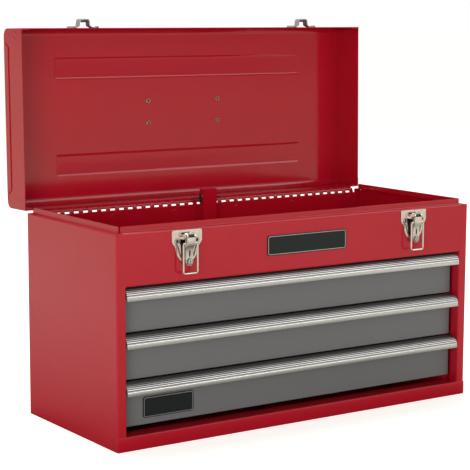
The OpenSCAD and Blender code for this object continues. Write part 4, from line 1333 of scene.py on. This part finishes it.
    def barrel(self) -> None:
        """Turns the lock barrel: a collar, a seat in painted shade, a flat face, and the key's slot as a face in
        painted shade.
        """
        profile = [
            (0.0, 8.38), (2.7, 8.38), (3.0, 8.2), (3.1, 7.7), (3.15, 7.2), (3.55, 7.2), (3.7, 7.5), (4.0, 7.5),
            (4.18, 7.2), (4.18, 6.9), (3.1, 6.6), (3.0, 3.2), (0.0, 3.2),
        ]
        work = turned(profile, 40, lambda radius, height: 3.0 < radius < 3.6 and height > 6.8)
        slot = [(-0.45, -1.9), (0.45, -1.9), (0.45, 1.9), (-0.45, 1.9)]
        face = work.faces.new([work.verts.new((x * MM, y * MM, 8.4 * MM)) for x, y in slot])
        face[painted_shade_layer(work)] = 1.0
        bmesh.ops.transform(
            work, verts=work.verts, matrix=Matrix.Translation(self.at(0.0, 0.0, self.barrel_z_mm))
            @ Matrix.Rotation(math.radians(90), 4, "X"),
        )
        piece = finish(poured(work, f"lock_barrel_{self.side}_finished"), self.paints["zinc"], 30.0)
        place(piece, f"latch_lever_{self.side}", Slot.NICKEL, f"lock_barrel_{self.side}")

    def plate(self) -> None:
        """Dresses the base plate, and sets its ears out to clear the lever."""
        piece = copy_solid(f"latch_plate_{self.side}", f"latch_plate_{self.side}_finished")
        (near, far), (foot, head) = self.ear_root_x_mm, self.ear_root_z_mm
        work = reopened(piece)
        for vert in work.verts:
            aside, out = vert.co.x / MM - self.middle, self.front_mm - vert.co.y / MM
            rooted = out > self.face_out_mm and near < abs(aside) < far and foot < vert.co.z / MM < head
            if out > self.ears_out_mm or rooted:
                vert.co.x += math.copysign(self.ear_mm - self.solid_ear_mm, aside) * MM
        close(work, piece)
        soften(piece, 0.22)
        self.taper_bead(piece)
        finish(piece, self.paints["nickel"], 40.0)
        place(piece, "body", Slot.NICKEL, f"latch_plate_{self.side}")

    def taper_bead(self, piece: Piece) -> None:
        """Adds the bead pressed along each tapered edge of the base plate.

        Args:
            piece: The base plate.
        """
        work = reopened(piece)
        marks = painted_shade_layer(work)
        section = [(0.0, 1.15), (0.25, 1.5), (0.65, 1.62), (1.0, 1.45), (1.15, 1.2), (2.6, 1.21)]
        for side in (-1, 1):
            rows = [
                [work.verts.new(self.at(side * (x - 2.4 - inset), out, z)) for inset, out in section]
                for x, z in self.taper_mm
            ]
            for upper, under in zip(rows, rows[1:]):
                for k in range(len(section) - 1):
                    corners = (upper[k], upper[k + 1], under[k + 1], under[k])
                    face = work.faces.new(corners if side < 0 else corners[::-1])
                    # The bead's inner side carries painted shade.
                    face[marks] = float(k >= 3) * 0.85
        close(work, piece)


@dataclass
class Handle:
    """The folding carrying handle."""

    paints: Paintbox

    def build(self) -> None:
        """Dresses the rod and the grip."""
        dress("handle_bail", "handle", Slot.ZINC, self.paints["zinc"], 0.4)
        dress("handle_grip", "handle", Slot.GRIP, self.paints["grip"], 0.8, 3)


@dataclass
class LockGear:
    """The bar that locks the drawers when the lid shuts, and its spring."""

    paints: Paintbox
    # Lowest and highest corner of each of the finger's bars.
    finger_mm: tuple[tuple[Point, Point], ...] = (
        ((-13.7, 99.2, 242.5), (-11.3, 101.2, 254.3)),
        ((-12.0, 99.9, 242.6), (-4.5, 100.9, 244.6)),
        ((-21.5, 99.8, 249.4), (-13.5, 100.6, 250.3)),
        ((-21.5, 99.8, 247.6), (-20.6, 100.6, 250.2)),
    )

    def build(self) -> None:
        """Dresses the bar and the spring."""
        dress("lock_bar", "lock", Slot.ZINC, self.paints["zinc"], 0.25)
        dress("lock_spring", "body", Slot.ZINC, self.paints["zinc"], 0.0)
        self.finger()

    def finger(self) -> None:
        """Adds the black finger that stands up beside the channel, with its small hook."""
        work = bmesh.new()
        for low, high in self.finger_mm:
            spot = Vector([(a + b) / 2 * MM for a, b in zip(low, high)])
            block(work, Matrix.Translation(spot), [(b - a) * MM for a, b in zip(low, high)])
        piece = soften(poured(work, "lock_finger"), 0.25)
        place(finish(piece, self.paints["tip"]), "lock", Slot.BLACK)


@dataclass
class BarePlates:
    """The two bare plates, black with a thin raised silver line, and the latch plates' rivets."""

    paints: Paintbox
    front_aside_mm: float = 2.8
    front_wider_mm: float = 1.2
    corner_mm: float = 3.5
    line_in_mm: float = 1.05
    line_mm: float = 0.5
    latch_x_mm: float = 165.0
    rivet_x_mm: float = 13.0
    rivet_y_mm: float = -109.2
    rivet_z_mm: float = 231.2

    def build(self) -> None:
        """Makes both plates and sets the rivets."""
        self.plate("front_plate", "body", self.front_aside_mm, self.front_wider_mm)
        self.plate("drawer_tag", "drawer_3")
        self.rivets()

    def rivets(self) -> None:
        """Sets the four tubular rivets that hold the latch plates."""
        # The hollow middle and the ring round each head carry painted shade.
        shape = turned([
            (0.0, 0.12), (1.35, 0.12), (1.45, 0.5), (1.95, 0.9), (2.5, 0.78), (2.85, 0.35), (2.9, 0.06), (3.3, 0.05),
            (3.3, -0.1), (1.9, -0.2), (1.9, -2.2), (2.6, -2.3), (2.5, -2.9), (1.2, -3.0), (0.0, -3.0),
        ], 28, lambda radius, height: height > 0 and (radius < 1.42 or radius > 2.88))
        points = [
            (side * (self.latch_x_mm + k * self.rivet_x_mm) * MM, self.rivet_y_mm * MM, self.rivet_z_mm * MM)
            for side in (-1, 1) for k in (-1, 1)
        ]
        turn = (math.radians(90), 0.0, 0.0)
        rivets = Scatter.grow("latch_rivets_finished", shape, points, self.paints["nickel"], turn)
        place(rivets, "body", Slot.NICKEL, "latch_rivets")

    def plate(self, node: str, body: str, aside_mm: float = 0.0, wider_mm: float = 0.0) -> None:
        """Makes one plate: a black slab with a thin silver line set in from its edge.

        Args:
            node: The CAD node.
            body: The body that carries it.
            aside_mm: How far it sits to the right of the node.
            wider_mm: How much it reaches beyond the node at each end.
        """
        low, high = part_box(node)
        mid_x, mid_z = (low.x + high.x) / 2 + aside_mm * MM, (low.z + high.z) / 2
        half_w, half_h = (high.x - low.x) / 2 + wider_mm * MM, (high.z - low.z) / 2
        line, within = self.line_in_mm * MM, (self.line_in_mm + self.line_mm) * MM
        steps = [
            (0.0, high.y), (0.0, low.y + 0.25 * MM), (0.25 * MM, low.y + 0.05 * MM), (line, low.y + 0.05 * MM),
            (line, low.y), (within, low.y), (within, low.y + 0.12 * MM),
        ]
        work = bmesh.new()
        loops = []
        for inset, y in steps:
            radius = max(self.corner_mm * MM - inset, 0.4 * MM)
            loops.append([
                work.verts.new((mid_x + x, y, mid_z + z))
                for x, z in rounded_outline(half_w - inset, half_h - inset, radius, 8)
            ])
        work.faces.new(loops[0])
        for step, _, face in walls(work, loops, ring=True):
            face.material_index = int(step in (3, 4, 5))
        work.faces.new(loops[-1])
        bmesh.ops.recalc_face_normals(work, faces=work.faces)
        piece = poured(work, f"{node}_finished")
        for finish_name in ("black", "silver"):
            piece.data.materials.append(self.paints[finish_name])
        place(piece, body, Slot.BLACK, node)


# ---------- Studio ----------
@dataclass(frozen=True)
class Lamp:
    """One soft light: where it hangs, what it looks at, its size and power, and what sees it."""

    name: str
    spot: Point
    aim: Point
    size: Pair
    watts: float
    glossy: bool = False
    diffuse: bool = True

    def hang(self) -> None:
        """Adds the light."""
        data = bpy.data.lights.new(self.name, "AREA")
        data.shape = "RECTANGLE"
        data.size, data.size_y = self.size
        data.energy = self.watts
        lamp = new_piece(self.name, data)
        lamp.location = self.spot
        lamp.rotation_euler = (Vector(self.aim) - Vector(self.spot)).to_track_quat("-Z", "Y").to_euler()
        lamp.visible_glossy, lamp.visible_diffuse = self.glossy, self.diffuse


@dataclass
class Studio:
    """A plain pale floor, soft lights and the camera."""

    eye: Point = (-1.0962, -1.5844, 0.4847)
    azimuth: float = 34.02
    pitch: float = 8.06
    roll: float = 0.18
    lens_mm: float = 120.8680851
    lamps: tuple[Lamp, ...] = (
        Lamp("top", (0.1, 0.9, 2.3), (0.0, 0.0, 0.2), (2.0, 1.6), 38.0, glossy=True),
        Lamp("fill", (-2.8, -2.5, 0.6), (0.0, 0.0, 0.15), (1.6, 1.0), 49.0),
        Lamp("strip", (1.2, -3.6, 0.45), (0.0, 0.0, 0.1), (2.4, 0.7), 17.0),
        Lamp("glint", (2.5, -2.1, 2.7), (0.0, 0.0, 0.2), (3.0, 2.0), 36.0, glossy=True, diffuse=False),
    )
    # The floor's painted shade in reflections: the chest's half sizes, the weight of its sides, and its reach.
    chest_half: Pair = (0.255, 0.108)
    side_weight: float = 3.4
    shadow_to: float = 1.3
    # The floor's own light where it is seen directly, and its painted glow in reflections between two distances.
    seen: float = 0.64
    glow: float = 0.36
    glow_from: float = 0.6
    glow_to: float = 3.2

    def build(self) -> None:
        """Sets up the whole studio."""
        self.floor()
        self.surroundings()
        for lamp in self.lamps:
            lamp.hang()
        self.camera()
        bpy.context.scene.view_settings.view_transform = "Standard"
        bpy.context.scene.view_settings.look = "None"

    def floor(self) -> None:
        """A wide pale floor: white where it is seen directly; in reflections its colour is painted darker near the
        chest as shade, and it glows further off as painted light.
        """
        work = bmesh.new()
        bmesh.ops.create_circle(work, cap_ends=True, segments=96, radius=40.0)
        floor = poured(work, "studio_floor")
        bench = Bench("studio_floor")
        graph = bench.graph
        across, deep, _ = graph.parts(bench.place)
        aside, ahead = (
            graph.maths("SUBTRACT", graph.maths("ABSOLUTE", way), half)
            for way, half in zip((across, deep), self.chest_half)
        )
        away = graph.maths("MAXIMUM", aside, ahead)
        clear = graph.maths("MAXIMUM", graph.maths("MULTIPLY", aside, self.side_weight), ahead)
        path = graph.node("ShaderNodeLightPath").outputs
        # Painted shade: in reflections the floor's colour darkens towards the chest.
        near = graph.maths("SUBTRACT", 1.0, graph.maths("POWER", graph.span(clear, 0.0, self.shadow_to), 0.5))
        open_floor = graph.maths("SUBTRACT", 1.0, graph.maths("MULTIPLY", near, path["Is Glossy Ray"]))
        # Painted light: in reflections the floor glows in a warm tint further from the chest.
        glow = graph.span(away, self.glow_from, self.glow_to, 0.0, self.glow)
        bench.set(
            Base_Color=graph.blend(open_floor, (0.06, 0.06, 0.055), (0.82, 0.80, 0.72)),
            Roughness=0.7,
            Emission_Color=graph.blend(path["Is Camera Ray"], (1.0, 0.90, 0.62), (1.0, 1.0, 1.0)),
            Emission_Strength=graph.maths(
                "ADD", graph.maths("MULTIPLY", path["Is Camera Ray"], self.seen),
                graph.maths("MULTIPLY", path["Is Glossy Ray"], glow),
            ),
        )
        floor.data.materials.append(bench.material)

    def surroundings(self) -> None:
        """Soft grey surroundings, plain white where they are seen directly."""
        world = bpy.data.worlds.new("studio")
        world.use_nodes = True
        bpy.context.scene.world = world
        graph = Graph(world.node_tree)
        base = world.node_tree.nodes["Background"]
        height = graph.parts(graph.node("ShaderNodeTexCoord").outputs["Generated"])[2]
        graph.join(graph.span(height, 0.0, 0.9, 0.36, 0.52), base.inputs["Strength"])
        seen = graph.node("ShaderNodeBackground")
        graph.join((1.0, 1.0, 1.0), seen.inputs["Color"])
        graph.join((1.0, 0.985, 0.96), base.inputs["Color"])
        path = graph.node("ShaderNodeLightPath")
        mix = graph.node("ShaderNodeMixShader")
        for at, given in enumerate((path.outputs["Is Camera Ray"], base.outputs[0], seen.outputs[0])):
            graph.join(given, mix.inputs[at])
        graph.join(mix.outputs[0], world.node_tree.nodes["World Output"].inputs["Surface"])

    def camera(self) -> None:
        """Adds the camera."""
        a, p, r = (math.radians(v) for v in (self.azimuth, self.pitch, self.roll))
        forward = Vector((math.sin(a) * math.cos(p), math.cos(a) * math.cos(p), -math.sin(p)))
        right = Vector((math.cos(a), -math.sin(a), 0.0))
        up = right.cross(forward)
        right, up = right * math.cos(r) + up * math.sin(r), up * math.cos(r) - right * math.sin(r)
        data = bpy.data.cameras.new("camera")
        data.sensor_width = 36.0
        data.lens = self.lens_mm
        data.clip_start, data.clip_end = 0.05, 200.0
        camera = new_piece("camera", data)
        turn = Matrix((right, up, -forward)).transposed().to_4x4()
        camera.matrix_world = Matrix.Translation(Vector(self.eye)) @ turn
        bpy.context.scene.camera = camera


def main() -> None:
    """Builds the chest and the studio."""
    logging.basicConfig(level=logging.INFO, format="%(name)s: %(message)s")
    paints = Paintbox()
    swing = LidSwing()
    Carcass(paints).build()
    Lid(paints, swing).build()
    Hinge(paints).build()
    for number in (1, 2, 3):
        Drawer(paints, number).build()
    for side in ("left", "right"):
        Latch(paints, side).build()
    Handle(paints).build()
    LockGear(paints).build()
    BarePlates(paints).build()
    Studio().build()


if __name__ == "__main__":
    main()
